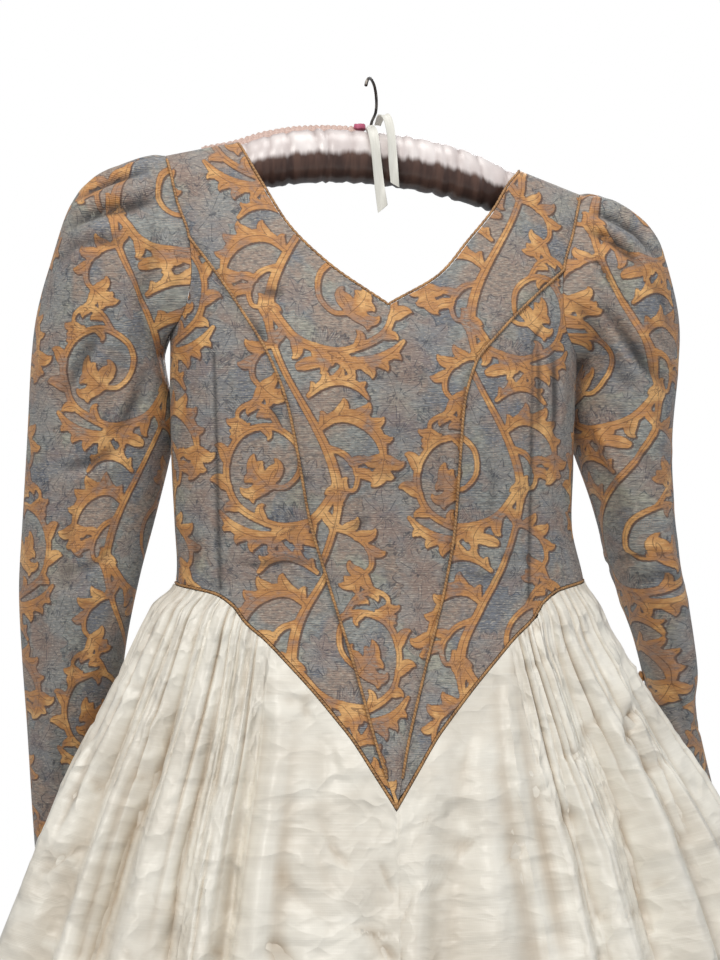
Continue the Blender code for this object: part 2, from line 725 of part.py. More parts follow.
def along_line(points, normals, places, distance):
    """The point, normal and place a distance along a line of stations."""
    for i in range(len(points) - 1):
        length = (points[i + 1] - points[i]).length
        if distance <= length or i == len(points) - 2:
            t = min(distance / length, 1.0)
            angle = lerp(places[i][0], places[i + 1][0], t)
            drop = lerp(places[i][1], places[i + 1][1], t)
            normal = normals[i].lerp(normals[i + 1], t).normalized()
            return points[i].lerp(points[i + 1], t), normal, angle, drop
        distance -= length
    raise ValueError("the line has no such place")


def skirt_columns(side):
    """The skirt's columns from the front middle to the centre back, each from waist to hem."""
    places = waist_line(side)
    if side < 0:
        places = [(a if a >= 0 else a + math.tau, d) for a, d in places]
    line, normals = moved_waist(side, 2 * (PIPING_RADIUS + SEAM_GAP), 0.0)
    total = sum((b - a).length for a, b in zip(line, line[1:]))
    columns = []
    last = SMOOTH_COLUMNS + 2 * GATHERS
    for column in range(last + 1):
        if column <= SMOOTH_COLUMNS:
            distance = SMOOTH_LENGTH * column / SMOOTH_COLUMNS
        else:
            share = (column - SMOOTH_COLUMNS) / (last - SMOOTH_COLUMNS)
            distance = lerp(SMOOTH_LENGTH, total, share)
        start, start_normal, angle, drop = along_line(line, normals, places, distance)
        hem_angle = angle + HEM_SWAY * math.sin(2 * angle)
        offset = start - form(angle, drop)
        length = HEM_DROP - drop
        pairs = []
        for share in SKIRT_ROWS:
            lower = drop + length * share
            a = lerp(angle, hem_angle, smoothstep(share * 1.2))
            normal = form_normal(a, lower)
            stand = gather(column, length * share, side)
            point = form(a, lower) + normal * stand + offset * (1 - smoothstep(share / 0.1))
            if share == 0.0:
                normal = start_normal
                point = start + normal * stand
            pairs.append((point, point - normal * SILK))
        columns.append(pairs)
    return columns


def spaced(columns, first, last):
    """Rows of one skirt panel, with each edge drawn back from the seam."""
    chosen = [list(column) for column in columns[first : last + 1]]
    for edge, inside in ((0, 1), (-1, -2)):
        for r, (outer, inner) in enumerate(chosen[edge]):
            way = (chosen[inside][r][0] - outer).normalized() * SEAM_GAP * 0.8
            chosen[edge][r] = (outer + way, inner + way)
    return [[column[r] for column in chosen] for r in range(len(SKIRT_ROWS))]


def skirt():
    left, right = skirt_columns(-1), skirt_columns(1)
    around = left[:0:-1] + right
    middle = len(left) - 1
    side, rear = FRONT_PANEL_COLUMN, SIDE_PANEL_COLUMN
    last = len(around) - 1
    for name, first, end in (
        ("skirt_back_left", 0, middle - rear),
        ("skirt_side_left", middle - rear, middle - side),
        ("skirt_front", middle - side, middle + side),
        ("skirt_side_right", middle + side, middle + rear),
        ("skirt_back_right", middle + rear, last),
    ):
        wall(name, [spaced(around, first, end)], "silk")


def sleeve_rings(side):
    """Outer points of the sleeve at each row of its table, the armhole first."""
    rows = [dict(zip(SLEEVE_COLUMNS, row)) for row in (LEFT_SLEEVE if side < 0 else RIGHT_SLEEVE)]
    loop = armhole_loop(side)
    first = [form(a, d) + Vector((side * SLEEVE_GAP, 0, 0)) for a, d in loop]
    middle = (SHOULDER_TIP_DROP + UNDERARM_DROP) / 2
    half = (UNDERARM_DROP - SHOULDER_TIP_DROP) / 2
    turns = []
    for k, (angle, drop) in enumerate(loop):
        turn = math.acos(min(max((middle - drop) / half, -1.0), 1.0))
        turns.append(turn if math.sin(angle) > -1e-9 and k < len(loop) / 2 + 3 else math.tau - turn)
    turns[0] = 0.0
    outside = [Vector((r["out_x"], r["out_y"], r["out_z"])) for r in rows]
    inside = [Vector((r["in_x"], r["in_y"], r["in_z"])) for r in rows]
    centres = [(a + b) / 2 for a, b in zip(outside, inside)]
    rings = [first]
    for i, row in enumerate(rows):
        reach = (outside[i] - inside[i]) / 2
        along = centres[min(i + 1, len(rows) - 1)] - centres[max(i - 1, 0)]
        front = along.cross(reach).normalized()
        if front.y > 0:
            front = -front
        ring = [centres[i] + reach * math.cos(t) + front * row["depth"] * math.sin(t) for t in turns]
        rings.append(ring)
    return rings, turns


def sleeve_point(rings, column, place):
    """A point between rings, on a curve through the rings' points."""
    i = min(int(place), len(rings) - 2)
    t = place - i
    a = rings[max(i - 1, 0)][column]
    b, c = rings[i][column], rings[i + 1][column]
    d = rings[min(i + 2, len(rings) - 1)][column]
    linear = (c - a) * t + (a * 2 - b * 5 + c * 4 - d) * t * t + (b * 3 - a - c * 3 + d) * t**3
    return b + linear * 0.5


def tuck(turn, place):
    """How far the tucks at the sleeve head stand out."""
    over = math.cos(turn / 2) ** 2
    near = smoothstep(place / 0.8) * (1 - smoothstep((place - 1.5) / 3.0))
    return TUCK_DEPTH * math.cos(TUCKS_ROUND * turn) * over * near


def sleeve(side):
    rings, turns = sleeve_rings(side)
    count = len(turns)
    outer = []
    for place in SLEEVE_RINGS:
        ring = [sleeve_point(rings, k, place) for k in range(count)]
        middle = sum(ring, Vector()) / count
        ring = [p + (p - middle).normalized() * tuck(turns[k], place) for k, p in enumerate(ring)]
        outer.append(ring)
    rows = []
    for r, ring in enumerate(outer):
        row = []
        for k, point in enumerate(ring):
            around = ring[(k + 1) % count] - ring[k - 1]
            down = outer[min(r + 1, len(outer) - 1)][k] - outer[max(r - 1, 0)][k]
            normal = around.cross(down).normalized() * side
            row.append((point, point - normal * BROCADE))
        rows.append(row + [row[0]])
    wall(f"sleeve_{side_name(side)}", [rows], "brocade")
    return rings, turns


def button(name, place, normal):
    """A domed covered button that stands on the cloth."""
    beside = normal.orthogonal().normalized()
    beyond = normal.cross(beside)
    base = place + normal * SEAM_GAP
    rings = []
    for radius, height in BUTTON_PROFILE:
        ring = []
        for k in range(BUTTON_SIDES):
            a = math.tau * k / BUTTON_SIDES
            flat = (beside * math.cos(a) + beyond * math.sin(a)) * BUTTON_RADIUS * radius
            ring.append(base + flat + normal * BUTTON_HEIGHT * height)
        rings.append(ring)
    loft(name, rings, "brocade")


def wrist_buttons(side, rings, turns):
    under = min(range(len(turns)), key=lambda k: abs(turns[k] - math.pi))
    for n in range(WRIST_BUTTONS):
        ring = WRIST_BUTTON_RING + WRIST_BUTTON_PITCH * n
        upper, lower = rings[int(ring)], rings[int(ring) + 1]
        point = upper[under].lerp(lower[under], ring % 1)
        around = upper[under + 1] - upper[under - 1]
        down = lower[under] - upper[under]
        button(f"wrist_button_{side_name(side)}_{n + 1}", point, around.cross(down).normalized() * side)


def back_buttons():
    for n in range(BACK_BUTTONS):
        drop = BACK_BUTTON_DROP + BACK_BUTTON_PITCH * n
        angle = form_angle(FRONT_MIDDLE + BUTTON_RADIUS + 2 * SEAM_GAP, drop, True)
        button(f"back_button_{n + 1}", form(angle, drop), form_normal(angle, drop))


def hanger_row(out, side):
    """X, top, bottom and depth of the hanger's pad, tilted as it hangs."""
    x = HANGER_MIDDLE * min(out / 0.1, 1.0) + side * out
    lean = HANG_TILT * x
    return x, -HANGER.at("top", out) - lean, -HANGER.at("bottom", out) - lean, HANGER.at("depth", out)


def hanger():
    rows = [hanger_row(out, -1) for out in HANGER_RINGS] + [hanger_row(0.0, 1)]
    rows += [hanger_row(out, 1) for out in reversed(HANGER_RINGS)]
    rings = []
    for x, top, bottom, depth in rows:
        middle, half = (top + bottom) / 2, (top - bottom) / 2
        ring = []
        for k in range(HANGER_SIDES):
            a = math.tau * k / HANGER_SIDES
            ring.append(Vector((x, -depth * math.sin(a), middle + half * math.cos(a))))
        rings.append(ring)
    loft("hanger_pad", rings, "satin")


def hook():
    """The wire from the tip over the crown and down to the pad."""
    centre = WIRE / 2 - HOOK_RADIUS
    flat = Vector((math.cos(HOOK_TURN), math.sin(HOOK_TURN), 0))
    start, end = HOOK_ARC
    route = []
    for k in range(HOOK_POINTS):
        a = lerp(end, start, k / (HOOK_POINTS - 1))
        route.append(flat * HOOK_RADIUS * math.cos(a) + Vector((0, 0, centre + HOOK_RADIUS * math.sin(a))))
    base = -HANGER.at("top", 0.0) + SEAM_GAP
    for out, height in HOOK_SHANK + ((0.0, base),):
        route.append(flat * out + Vector((0, 0, height)))
    tube("hook", route, WIRE / 2, HOOK_SIDES, "steel")


def strip(name, route, width):
    """A flat ribbon that faces the front, through (x, y, z) places."""
    rows = []
    for i, (x, y, z) in enumerate(route):
        after, before = route[min(i + 1, len(route) - 1)], route[max(i - 1, 0)]
        along = (Vector(after) - Vector(before)).normalized()
        beside = along.cross(Vector((0, 1, 0)))
        beside = Vector((1, 0, 0)) if beside.length < 0.2 else beside.normalized()
        if beside.x < 0:
            beside = -beside
        inward = along.cross(beside).normalized()
        middle = Vector((x, y, z))
        ends = [middle - beside * width / 2, middle + beside * width / 2]
        rows.append([(p, p + inward * RIBBON) for p in ends])
    wall(name, [rows], "ribbon")


def ribbon():
    """The knot round the hook, and the two tails in front of the pad."""
    rows = []
    for radius, height in KNOT:
        row = []
        for k in range(KNOT_SIDES):
            a = math.tau * k / KNOT_SIDES
            ring = Vector((math.cos(a), math.sin(a), 0))
            middle = Vector((0, 0, height))
            row.append((middle + ring * radius, middle + ring * (WIRE / 2 + SEAM_GAP)))
        rows.append(row + [row[0]])
    wall("ribbon_knot", [rows], "ribbon")
    strip(
        "ribbon_tail_front",
        (
            (-0.0022, -0.0044, -0.0428),
            (-0.0018, -0.0125, -0.0452),
            (-0.0010, -0.0190, -0.0520),
            (0.0000, -0.0232, -0.0620),
            (0.0012, -0.0242, -0.0740),
            (0.0030, -0.0240, -0.0900),
            (0.0050, -0.0245, -0.1070),
            (0.0070, -0.0250, -0.1215),
        ),
        TAIL_WIDTH,
    )
    strip(
        "ribbon_loop_tail",
        (
            (0.0055, -0.0030, -0.0409),
            (0.0064, -0.0105, -0.0355),
            (0.0090, -0.0150, -0.0335),
            (0.0120, -0.0190, -0.0380),
            (0.0138, -0.0232, -0.0480),
            (0.0148, -0.0268, -0.0620),
            (0.0156, -0.0280, -0.0780),
            (0.0166, -0.0275, -0.0900),
            (0.0176, -0.0270, -0.1015),
        ),
        LOOP_WIDTH,
    )


def rosebud():
    """The small rose of folded ribbon beside the hook."""
    rings = []
    for radius, height in ROSE:
        ring = []
        for k in range(KNOT_SIDES):
            a = math.tau * k / KNOT_SIDES
            depth = radius * ROSE_FLATTENING * math.sin(a)
            ring.append(Vector((ROSE_X + radius * math.cos(a), depth, height)))
        rings.append(ring)
    loft("rosebud", rings, "rose")


def main():
    for old in list(bpy.data.objects):
        bpy.data.objects.remove(old, do_unlink=True)
    centre_front()
    piping_neck()
    piping_waist()
    for side in (-1, 1):
        side_front(side)
        back(side)
        piping_front_seams(side)
        rings, turns = sleeve(side)
        wrist_buttons(side, rings, turns)
    back_buttons()
    skirt()
    hanger()
    hook()
    ribbon()
    rosebud()


main()
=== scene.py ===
import math

import bmesh
import bpy
import numpy as np
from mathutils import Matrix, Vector


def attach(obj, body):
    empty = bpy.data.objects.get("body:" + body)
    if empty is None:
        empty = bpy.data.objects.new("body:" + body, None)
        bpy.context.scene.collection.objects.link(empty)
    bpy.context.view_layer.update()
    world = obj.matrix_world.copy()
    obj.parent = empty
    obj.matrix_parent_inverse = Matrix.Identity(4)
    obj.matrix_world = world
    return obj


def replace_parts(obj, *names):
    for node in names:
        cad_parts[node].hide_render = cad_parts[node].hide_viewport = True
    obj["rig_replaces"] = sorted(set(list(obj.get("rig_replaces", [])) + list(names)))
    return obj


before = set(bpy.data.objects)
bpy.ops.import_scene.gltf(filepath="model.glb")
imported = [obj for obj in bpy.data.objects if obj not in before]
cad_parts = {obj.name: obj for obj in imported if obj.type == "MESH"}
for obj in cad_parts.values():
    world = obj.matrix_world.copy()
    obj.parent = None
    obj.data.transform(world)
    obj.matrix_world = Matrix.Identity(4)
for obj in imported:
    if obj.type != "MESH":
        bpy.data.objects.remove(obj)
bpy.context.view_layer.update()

rest = "root"
frontMiddle = 0.0035
seamGap = 0.0003
cordRadius = 0.0013


# camera, light and floor
viewSettings = {
    "turn": math.radians(-8),
    "target": (-0.010, 0.0, -0.360),
    "distance": 1.30,
    "lens": 36.1,
    "skyForCamera": (1.0, 1.0, 1.0, 1.0),
    "skyLight": (0.93, 0.96, 1.0, 1.0),
    "skyStrength": 0.40,
    "floorDrop": 1.480,
    "floorRadius": 1.3,
}


def makeCamera():
    s = viewSettings
    back = Vector((math.sin(s["turn"]), -math.cos(s["turn"]), 0))
    data = bpy.data.cameras.new("photoCamera")
    data.sensor_fit = "VERTICAL"
    data.sensor_height = 24
    data.lens = s["lens"]
    data.clip_end = 50
    made = bpy.data.objects.new("photoCamera", data)
    made.location = Vector(s["target"]) + back * s["distance"]
    made.rotation_euler = (-back).to_track_quat("-Z", "Y").to_euler()
    bpy.context.scene.collection.objects.link(made)
    bpy.context.scene.camera = made


def makeLamp(name, place, aim, size, power, colour):
    data = bpy.data.lights.new(name, "AREA")
    data.shape = "DISK"
    data.size = size
    data.energy = power
    data.color = colour
    made = bpy.data.objects.new(name, data)
    made.location = place
    made.rotation_euler = (Vector(aim) - Vector(place)).to_track_quat("-Z", "Y").to_euler()
    bpy.context.scene.collection.objects.link(made)


def makeSky():
    s = viewSettings
    world = bpy.data.worlds.new("studioSky")
    bpy.context.scene.world = world
    world.use_nodes = True
    tree = world.node_tree
    tree.nodes.clear()
    seen = tree.nodes.new("ShaderNodeBackground")
    seen.inputs["Color"].default_value = s["skyForCamera"]
    light = tree.nodes.new("ShaderNodeBackground")
    light.inputs["Color"].default_value = s["skyLight"]
    light.inputs["Strength"].default_value = s["skyStrength"]
    path = tree.nodes.new("ShaderNodeLightPath")
    mix = tree.nodes.new("ShaderNodeMixShader")
    out = tree.nodes.new("ShaderNodeOutputWorld")
    tree.links.new(path.outputs["Is Camera Ray"], mix.inputs["Fac"])
    tree.links.new(light.outputs[0], mix.inputs[1])
    tree.links.new(seen.outputs[0], mix.inputs[2])
    tree.links.new(mix.outputs[0], out.inputs[0])


print("camera and light")
bpy.context.scene.view_settings.view_transform = "Standard"
makeCamera()
makeSky()
makeLamp("keyLamp", (-0.9, -1.9, 0.9), (0, 0, -0.5), 1.1, 34, (1.0, 0.97, 0.93))
makeLamp("fillLamp", (1.6, -1.5, 0.1), (0, 0, -0.6), 1.6, 9, (0.93, 0.96, 1.0))
makeLamp("topLamp", (0.1, -0.3, 1.3), (0, 0, 0), 0.9, 9, (1.0, 0.99, 0.97))
makeLamp("backLamp", (0.5, 1.9, 0.6), (0, 0, -0.6), 1.4, 16, (0.97, 0.98, 1.0))


# the dress's form, as in the CAD part
def makeTable(columns, rows):
    data = np.array(rows, float)
    keys = data[:, 0]
    table = {"keys": keys}
    for i, name in enumerate(columns[1:], 1):
        values = data[:, i]
        steps = np.diff(values) / np.diff(keys)
        slopes = np.zeros(len(values))
        slopes[0], slopes[-1] = steps[0], steps[-1]
        same = steps[:-1] * steps[1:] > 0
        total = np.where(same, steps[:-1] + steps[1:], 1)
        slopes[1:-1] = np.where(same, 2 * steps[:-1] * steps[1:] / total, 0)
        table[name] = (values, slopes)
    return table


def at(table, name, key):
    keys = table["keys"]
    values, slopes = table[name]
    key = np.clip(key, keys[0], keys[-1])
    i = np.clip(np.searchsorted(keys, key, side="right") - 1, 0, len(keys) - 2)
    width = keys[i + 1] - keys[i]
    t = (key - keys[i]) / width
    start = (1 + 2 * t) * (1 - t) ** 2 * values[i] + t * (1 - t) ** 2 * width * slopes[i]
    return start + t * t * (3 - 2 * t) * values[i + 1] - t * t * (1 - t) * width * slopes[i + 1]


formTable = makeTable(
    ("drop", "middle", "left", "right", "front", "back", "power"),
    (
        (0.068, 0.004, 0.226, 0.226, 0.030, 0.030, 2.3),
        (0.100, 0.004, 0.222, 0.222, 0.034, 0.034, 2.3),
        (0.130, 0.004, 0.214, 0.214, 0.044, 0.040, 2.3),
        (0.165, 0.004, 0.205, 0.205, 0.059, 0.047, 2.3),
        (0.210, 0.004, 0.192, 0.192, 0.076, 0.054, 2.3),
        (0.241, 0.004, 0.184, 0.184, 0.085, 0.057, 2.3),
        (0.290, 0.003, 0.183, 0.183, 0.091, 0.059, 2.3),
        (0.340, 0.002, 0.181, 0.183, 0.087, 0.057, 2.3),
        (0.400, 0.004, 0.180, 0.180, 0.079, 0.053, 2.3),
        (0.450, 0.009, 0.184, 0.186, 0.077, 0.055, 2.3),
        (0.470, 0.009, 0.197, 0.194, 0.079, 0.062, 2.3),
        (0.500, 0.007, 0.209, 0.208, 0.087, 0.074, 2.2),
        (0.560, 0.008, 0.238, 0.241, 0.102, 0.096, 2.1),
        (0.620, 0.006, 0.266, 0.284, 0.118, 0.114, 2.0),
        (0.680, 0.005, 0.290, 0.322, 0.134, 0.130, 2.0),
        (0.777, 0.003, 0.326, 0.368, 0.164, 0.160, 2.0),
        (0.900, 0.000, 0.372, 0.414, 0.204, 0.206, 2.0),
        (1.100, 0.000, 0.438, 0.474, 0.266, 0.274, 2.0),
        (1.300, 0.000, 0.496, 0.522, 0.326, 0.338, 2.0),
        (1.470, 0.000, 0.540, 0.560, 0.372, 0.386, 2.0),
    ),
)
neckTable = makeTable(
    ("drop", "left", "right"),
    (
        (0.0685, -0.1220, 0.1380),
        (0.088, -0.1135, 0.1215),
        (0.112, -0.1000, 0.1070),
        (0.147, -0.0790, 0.0790),
        (0.1795, -0.0460, 0.0520),
        (0.212, frontMiddle, frontMiddle),
    ),
)
backNeckTable = makeTable(
    ("drop", "left", "right"),
    (
        (0.0685, -0.1220, 0.1380),
        (0.100, -0.1215, 0.1370),
        (0.135, -0.1130, 0.1300),
        (0.170, -0.0950, 0.1090),
        (0.210, -0.0660, 0.0780),
        (0.250, -0.0340, 0.0430),
        (0.290, frontMiddle, frontMiddle),
    ),
)
armholeTable = makeTable(
    ("drop", "left", "right"),
    (
        (0.0855, -0.1840, 0.1920),
        (0.105, -0.1790, 0.1850),
        (0.1285, -0.1740, 0.1785),
        (0.162, -0.1635, 0.1675),
        (0.190, -0.1615, 0.1655),
        (0.215, -0.1650, 0.1680),
        (0.232, -0.1720, 0.1780),
        (0.241, -0.1800, 0.1880),
    ),
)
princessTable = makeTable(
    ("drop", "left", "right"),
    (
        (0.162, -0.1635, 0.1675),
        (0.195, -0.1390, 0.1320),
        (0.225, -0.1190, 0.1030),
        (0.257, -0.0996, 0.0775),
        (0.297, -0.0836, 0.0665),
        (0.340, -0.0740, 0.0640),
        (0.394, -0.0635, 0.0615),
        (0.449, -0.0470, 0.0530),
        (0.519, -0.0266, 0.0325),
        (0.580, -0.0110, 0.0150),
        (0.6205, 0.0009, 0.0061),
    ),
)
waistTable = makeTable(
    ("across", "drop"),
    (
        (0.0, 0.626), (0.091, 0.600), (0.187, 0.573), (0.235, 0.562), (0.364, 0.534), (0.481, 0.511),
        (0.578, 0.493), (0.668, 0.479), (0.727, 0.465), (0.818, 0.455), (1.0, 0.449),
    ),
)
formSettings = {
    "shoulderDrop": 0.0685,
    "shoulderTip": 0.0855,
    "shoulderMiddle": 0.006,
    "shoulderReach": 0.129,
    "shoulderSlope": 0.288,
    "arch": 0.030,
    "tilt": 0.0655,
    "tiltFull": 0.160,
    "tiltNone": 0.450,
    "underarm": 0.241,
    "sideWaist": 0.449,
    "backWaist": 0.452,
    "neckPoint": 0.212,
    "backNeck": 0.290,
    "backStrap": 0.2585,
    "princessTop": 0.162,
    "princessEnd": 0.6205,
    "frontTip": 0.6284,
    "hem": 1.470,
}
strapNeckRows = (0.0, 0.014, 0.050, 0.114, 0.214, 0.413, 0.616, 0.815, 1.0)
strapArmRows = (0.0, 0.024, 0.081, 0.183, 0.340, 0.654, 1.0)
backNeckRows = (0.0, 0.011, 0.037, 0.084, 0.158, 0.289, 0.447, 0.605, 0.763, 0.895, 1.0)
backArmRows = (0.0, 0.012, 0.040, 0.090, 0.167, 0.322, 0.489, 0.656, 0.823, 0.932, 1.0)
princessRows = (
    0.162, 0.187, 0.212, 0.237, 0.263, 0.290, 0.320, 0.352,
    0.386, 0.420, 0.455, 0.490, 0.525, 0.558, 0.590, 0.6205,
)
waistStations = (0.0, 0.091, 0.187, 0.30, 0.43, 0.578, 0.71, 0.84, 1.0)


def smooth(t):
    t = np.clip(t, 0, 1)
    return t * t * (3 - 2 * t)


def lerp(a, b, t):
    return a + (b - a) * t


def unit(v):
    return v / np.maximum(np.linalg.norm(v, axis=-1, keepdims=True), 1e-12)


def lengthAlong(line):
    return np.concatenate([[0.0], np.cumsum(np.linalg.norm(np.diff(line, axis=0), axis=1))])


def placedAt(where, gone, points):
    return np.stack([np.interp(where, gone, points[:, c]) for c in range(3)], -1)


def splined(a, b, c, d, t):  # between b and c, on a smooth line through all four
    linear = (c - a) * t + (2 * a - 5 * b + 4 * c - d) * t * t + (3 * b - a - 3 * c + d) * t**3
    return b + linear / 2


def sideName(side):
    return "left" if side < 0 else "right"


def shoulderDrop(x):
    f = formSettings
    over = np.maximum(0, np.abs(x - f["shoulderMiddle"]) - f["shoulderReach"])
    return f["shoulderDrop"] + f["shoulderSlope"] * over


def armholeDrop(turn):  # heights round the armhole, from the shoulder's tip to the underarm
    f = formSettings
    middle, half = (f["shoulderTip"] + f["underarm"]) / 2, (f["underarm"] - f["shoulderTip"]) / 2
    return middle - half * np.cos(turn)


def form(angle, drop):
    f = formSettings
    angle, drop = np.broadcast_arrays(np.asarray(angle, float), np.asarray(drop, float))
    cosine, sine = np.cos(angle), np.sin(angle)
    wide = np.where(cosine > 0, at(formTable, "right", drop), at(formTable, "left", drop))
    deep = np.where(sine > 0, at(formTable, "front", drop), at(formTable, "back", drop))
    root = 2 / at(formTable, "power", drop)
    x = at(formTable, "middle", drop) + np.sign(cosine) * wide * np.abs(cosine) ** root
    y = -np.sign(sine) * deep * np.abs(sine) ** root
    below = np.clip((drop - shoulderDrop(x)) / f["arch"], 0, 1)
    y = y * np.sqrt(1 - (1 - below) ** 2)
    tilt = 1 - smooth((drop - f["tiltFull"]) / (f["tiltNone"] - f["tiltFull"]))
    return np.stack([x, y, -drop - f["tilt"] * tilt * x], -1)


def formAngle(x, drop, back=False):
    middle = at(formTable, "middle", drop)
    wide = np.where(x > middle, at(formTable, "right", drop), at(formTable, "left", drop))
    share = np.minimum(np.abs(x - middle) / wide, 1) ** (at(formTable, "power", drop) / 2)
    angle = np.arccos(np.where(x > middle, share, -share))
    return -angle if back else angle


def formNormal(angle, drop):
    turn, step = 0.002, 0.0005
    top = shoulderDrop(form(angle, drop)[..., 0])
    across = form(angle + turn, drop) - form(angle - turn, drop)
    down = form(angle, np.maximum(drop, top) + step) - form(angle, np.maximum(drop - step, top))
    return unit(np.cross(across, down))


# soft folds and creases: rows of (x, drop, x, drop, ...), width and height, in millimetres
def creaseHeight(x, z, rows):
    total = np.zeros_like(x)
    for path, width, height, *kind in rows:
        p = np.reshape(path, (-1, 2)) / 1000 * (1, -1)
        w = width / 1000
        reach = 3 * w
        low, high = p.min(0) - reach, p.max(0) + reach
        near = (x > low[0]) & (x < high[0]) & (z > low[1]) & (z < high[1])
        if not near.any():
            continue
        px, pz = x[near], z[near]
        best = np.full(px.shape, 1e9)
        share = np.zeros(px.shape)
        hand = np.zeros(px.shape)
        lengths = np.linalg.norm(np.diff(p, axis=0), axis=1)
        gone = 0.0
        for a, b, length in zip(p, p[1:], lengths):
            d = (b - a) / length
            t = np.clip((px - a[0]) * d[0] + (pz - a[1]) * d[1], 0, length)
            ex, ez = px - a[0] - d[0] * t, pz - a[1] - d[1] * t
            far = np.hypot(ex, ez)
            closer = far < best
            best = np.where(closer, far, best)
            share = np.where(closer, (gone + t) / lengths.sum(), share)
            hand = np.where(closer, ex * -d[1] + ez * d[0], hand)
            gone += length
        fade = np.sin(np.pi * np.clip(share, 0.02, 0.98)) ** 0.6
        shape = np.exp(-((best / w) ** 2))
        if "pleat" in kind:  # a sharp edge with one long flank and one steep one
            shape = np.exp(-np.abs(hand) / np.where(hand > 0, w, 0.28 * w)) * np.exp(-((best / w / 2) ** 2))
        total[near] += height / 1000 * fade * shape
    return total


# cloth meshes: a close outer face and a plainer inner one, joined at the edges
def clothFaces(outer, normal, flat, thickness, joined=None, stride=3):
    rows, columns = outer.shape[:2]
    inner = (outer - normal * thickness)[::stride, ::stride]
    lowRows, lowColumns = inner.shape[:2]
    top = np.arange(rows * columns).reshape(rows, columns)
    low = rows * columns + np.arange(lowRows * lowColumns).reshape(lowRows, lowColumns)

    def quads(grid, turned):
        order = ((0, 0), (0, 1), (1, 1), (1, 0))
        corners = [grid[r : r + grid.shape[0] - 1, c : c + grid.shape[1] - 1].ravel() for r, c in order]
        made = np.stack(corners, 1)
        return (made[:, ::-1] if turned else made).tolist()

    faces = quads(top, False) + quads(low, True)
    rims = []
    edges = [(top[0], low[0], True), (top[-1], low[-1], False)]
    first, last = ("first", top[:, 0], low[:, 0], False), ("last", top[:, -1], low[:, -1], True)
    for label, high, bottom, turned in (first, last):
        if joined and joined[0] == label:  # this edge goes on into the next grid below the row
            high, bottom = high[: joined[1] + 1], bottom[: joined[1] // stride + 1]
        edges.append((high, bottom, turned))
    for high, bottom, turned in edges:
        for k in range(len(bottom) - 1):
            ring = high[k * stride : k * stride + stride + 1].tolist() + [int(bottom[k + 1]), int(bottom[k])]
            rims.append(ring if turned else ring[::-1])
    points = np.concatenate([outer.reshape(-1, 3), inner.reshape(-1, 3)])
    if flat.shape[2] == 2:
        flat = np.concatenate([flat, np.zeros((rows, columns, 1))], 2)
    spread = np.concatenate([flat.reshape(-1, 3), flat[::stride, ::stride].reshape(-1, 3)])
    return points, spread, faces + rims


def clothPiece(name, grids, thickness, finish):
    points, spread, faces, total = [], [], [], 0
    for grid in grids:
        somePoints, someSpread, someFaces = clothFaces(*grid[:3], thickness, *grid[3:])
        faces += [[i + total for i in face] for face in someFaces]
        total += len(somePoints)
        points.append(somePoints)
        spread.append(someSpread)
    points, spread = np.concatenate(points), np.concatenate(spread)
    made = addMesh(name, points, faces, finish, spread)
    if len(grids) > 1:
        shape = bmesh.new()
        shape.from_mesh(made.data)
        bmesh.ops.remove_doubles(shape, verts=shape.verts, dist=1e-6)
        shape.to_mesh(made.data)
        shape.free()
    made.data.set_sharp_from_angle(angle=math.radians(50))
    return made


def addMesh(name, points, faces, finish, spread):
    mesh = bpy.data.meshes.new(name)
    mesh.from_pydata(np.asarray(points, float).tolist(), [], faces)
    mesh.polygons.foreach_set("use_smooth", np.ones(len(mesh.polygons), bool))
    layer = mesh.uv_layers.new(name="cloth")
    loops = np.zeros(len(mesh.loops), int)
    mesh.loops.foreach_get("vertex_index", loops)
    spread = np.asarray(spread, float)
    layer.data.foreach_set("uv", spread[loops, :2].astype(np.float32).ravel())
    mesh.materials.append(finish)
    made = bpy.data.objects.new(name, mesh)
    bpy.context.scene.collection.objects.link(made)
    shades = motifAt(spread) if finish.name == "scrollBrocade" else {}
    # a third column holds how deep the cloth lies in a fold, where its shade is painted
    if spread.shape[1] > 2:
        shades["hollowShade"] = spread[:, 2]
    for label, values in shades.items():
        attribute = mesh.attributes.new(label, "FLOAT", "POINT")
        attribute.data.foreach_set("value", values.astype(np.float32))
    return made


# these depths set where shade is painted in the folds of the cloth
def hollows(height, depth, reach=7):  # how far each point lies below the cloth beside it, from 0 to 1
    padded = np.pad(height, ((reach, reach), (reach, reach)), mode="edge")
    for axis in (0, 1):
        gone = np.cumsum(padded, axis=axis)
        high = np.take(gone, np.arange(2 * reach, padded.shape[axis]), axis=axis)
        low = np.take(gone, np.arange(0, padded.shape[axis] - 2 * reach), axis=axis)
        padded = (high - low) / (2 * reach)
    return np.clip((padded - height) / depth, 0, 1)[..., None]


def gridNormals(points):
    return unit(np.cross(np.gradient(points, axis=1), np.gradient(points, axis=0)))


# the brocade's scrolling leaves: one repeat, drawn as distances in millimetres
tileSettings = {"width": 174, "height": 300, "step": 0.5, "middle": 100, "fatter": 0.6}


def newField(value):
    s = tileSettings
    return np.full((int(s["height"] / s["step"]), int(s["width"] / s["step"])), float(value))


goldField = newField(9)
goldAcross = newField(9)
inkField = newField(9)
inkAcross = newField(9)


def curve(points, count=10):
    p = np.array(points, float)
    p = np.concatenate([2 * p[:1] - p[1:2], p, 2 * p[-1:] - p[-2:-1]])
    out = []
    for i in range(1, len(p) - 2):
        a, b, c, d = p[i - 1 : i + 3]
        for t in np.linspace(0, 1, count, endpoint=False):
            out.append(splined(a, b, c, d, t))
    return np.array(out + [p[-2]])


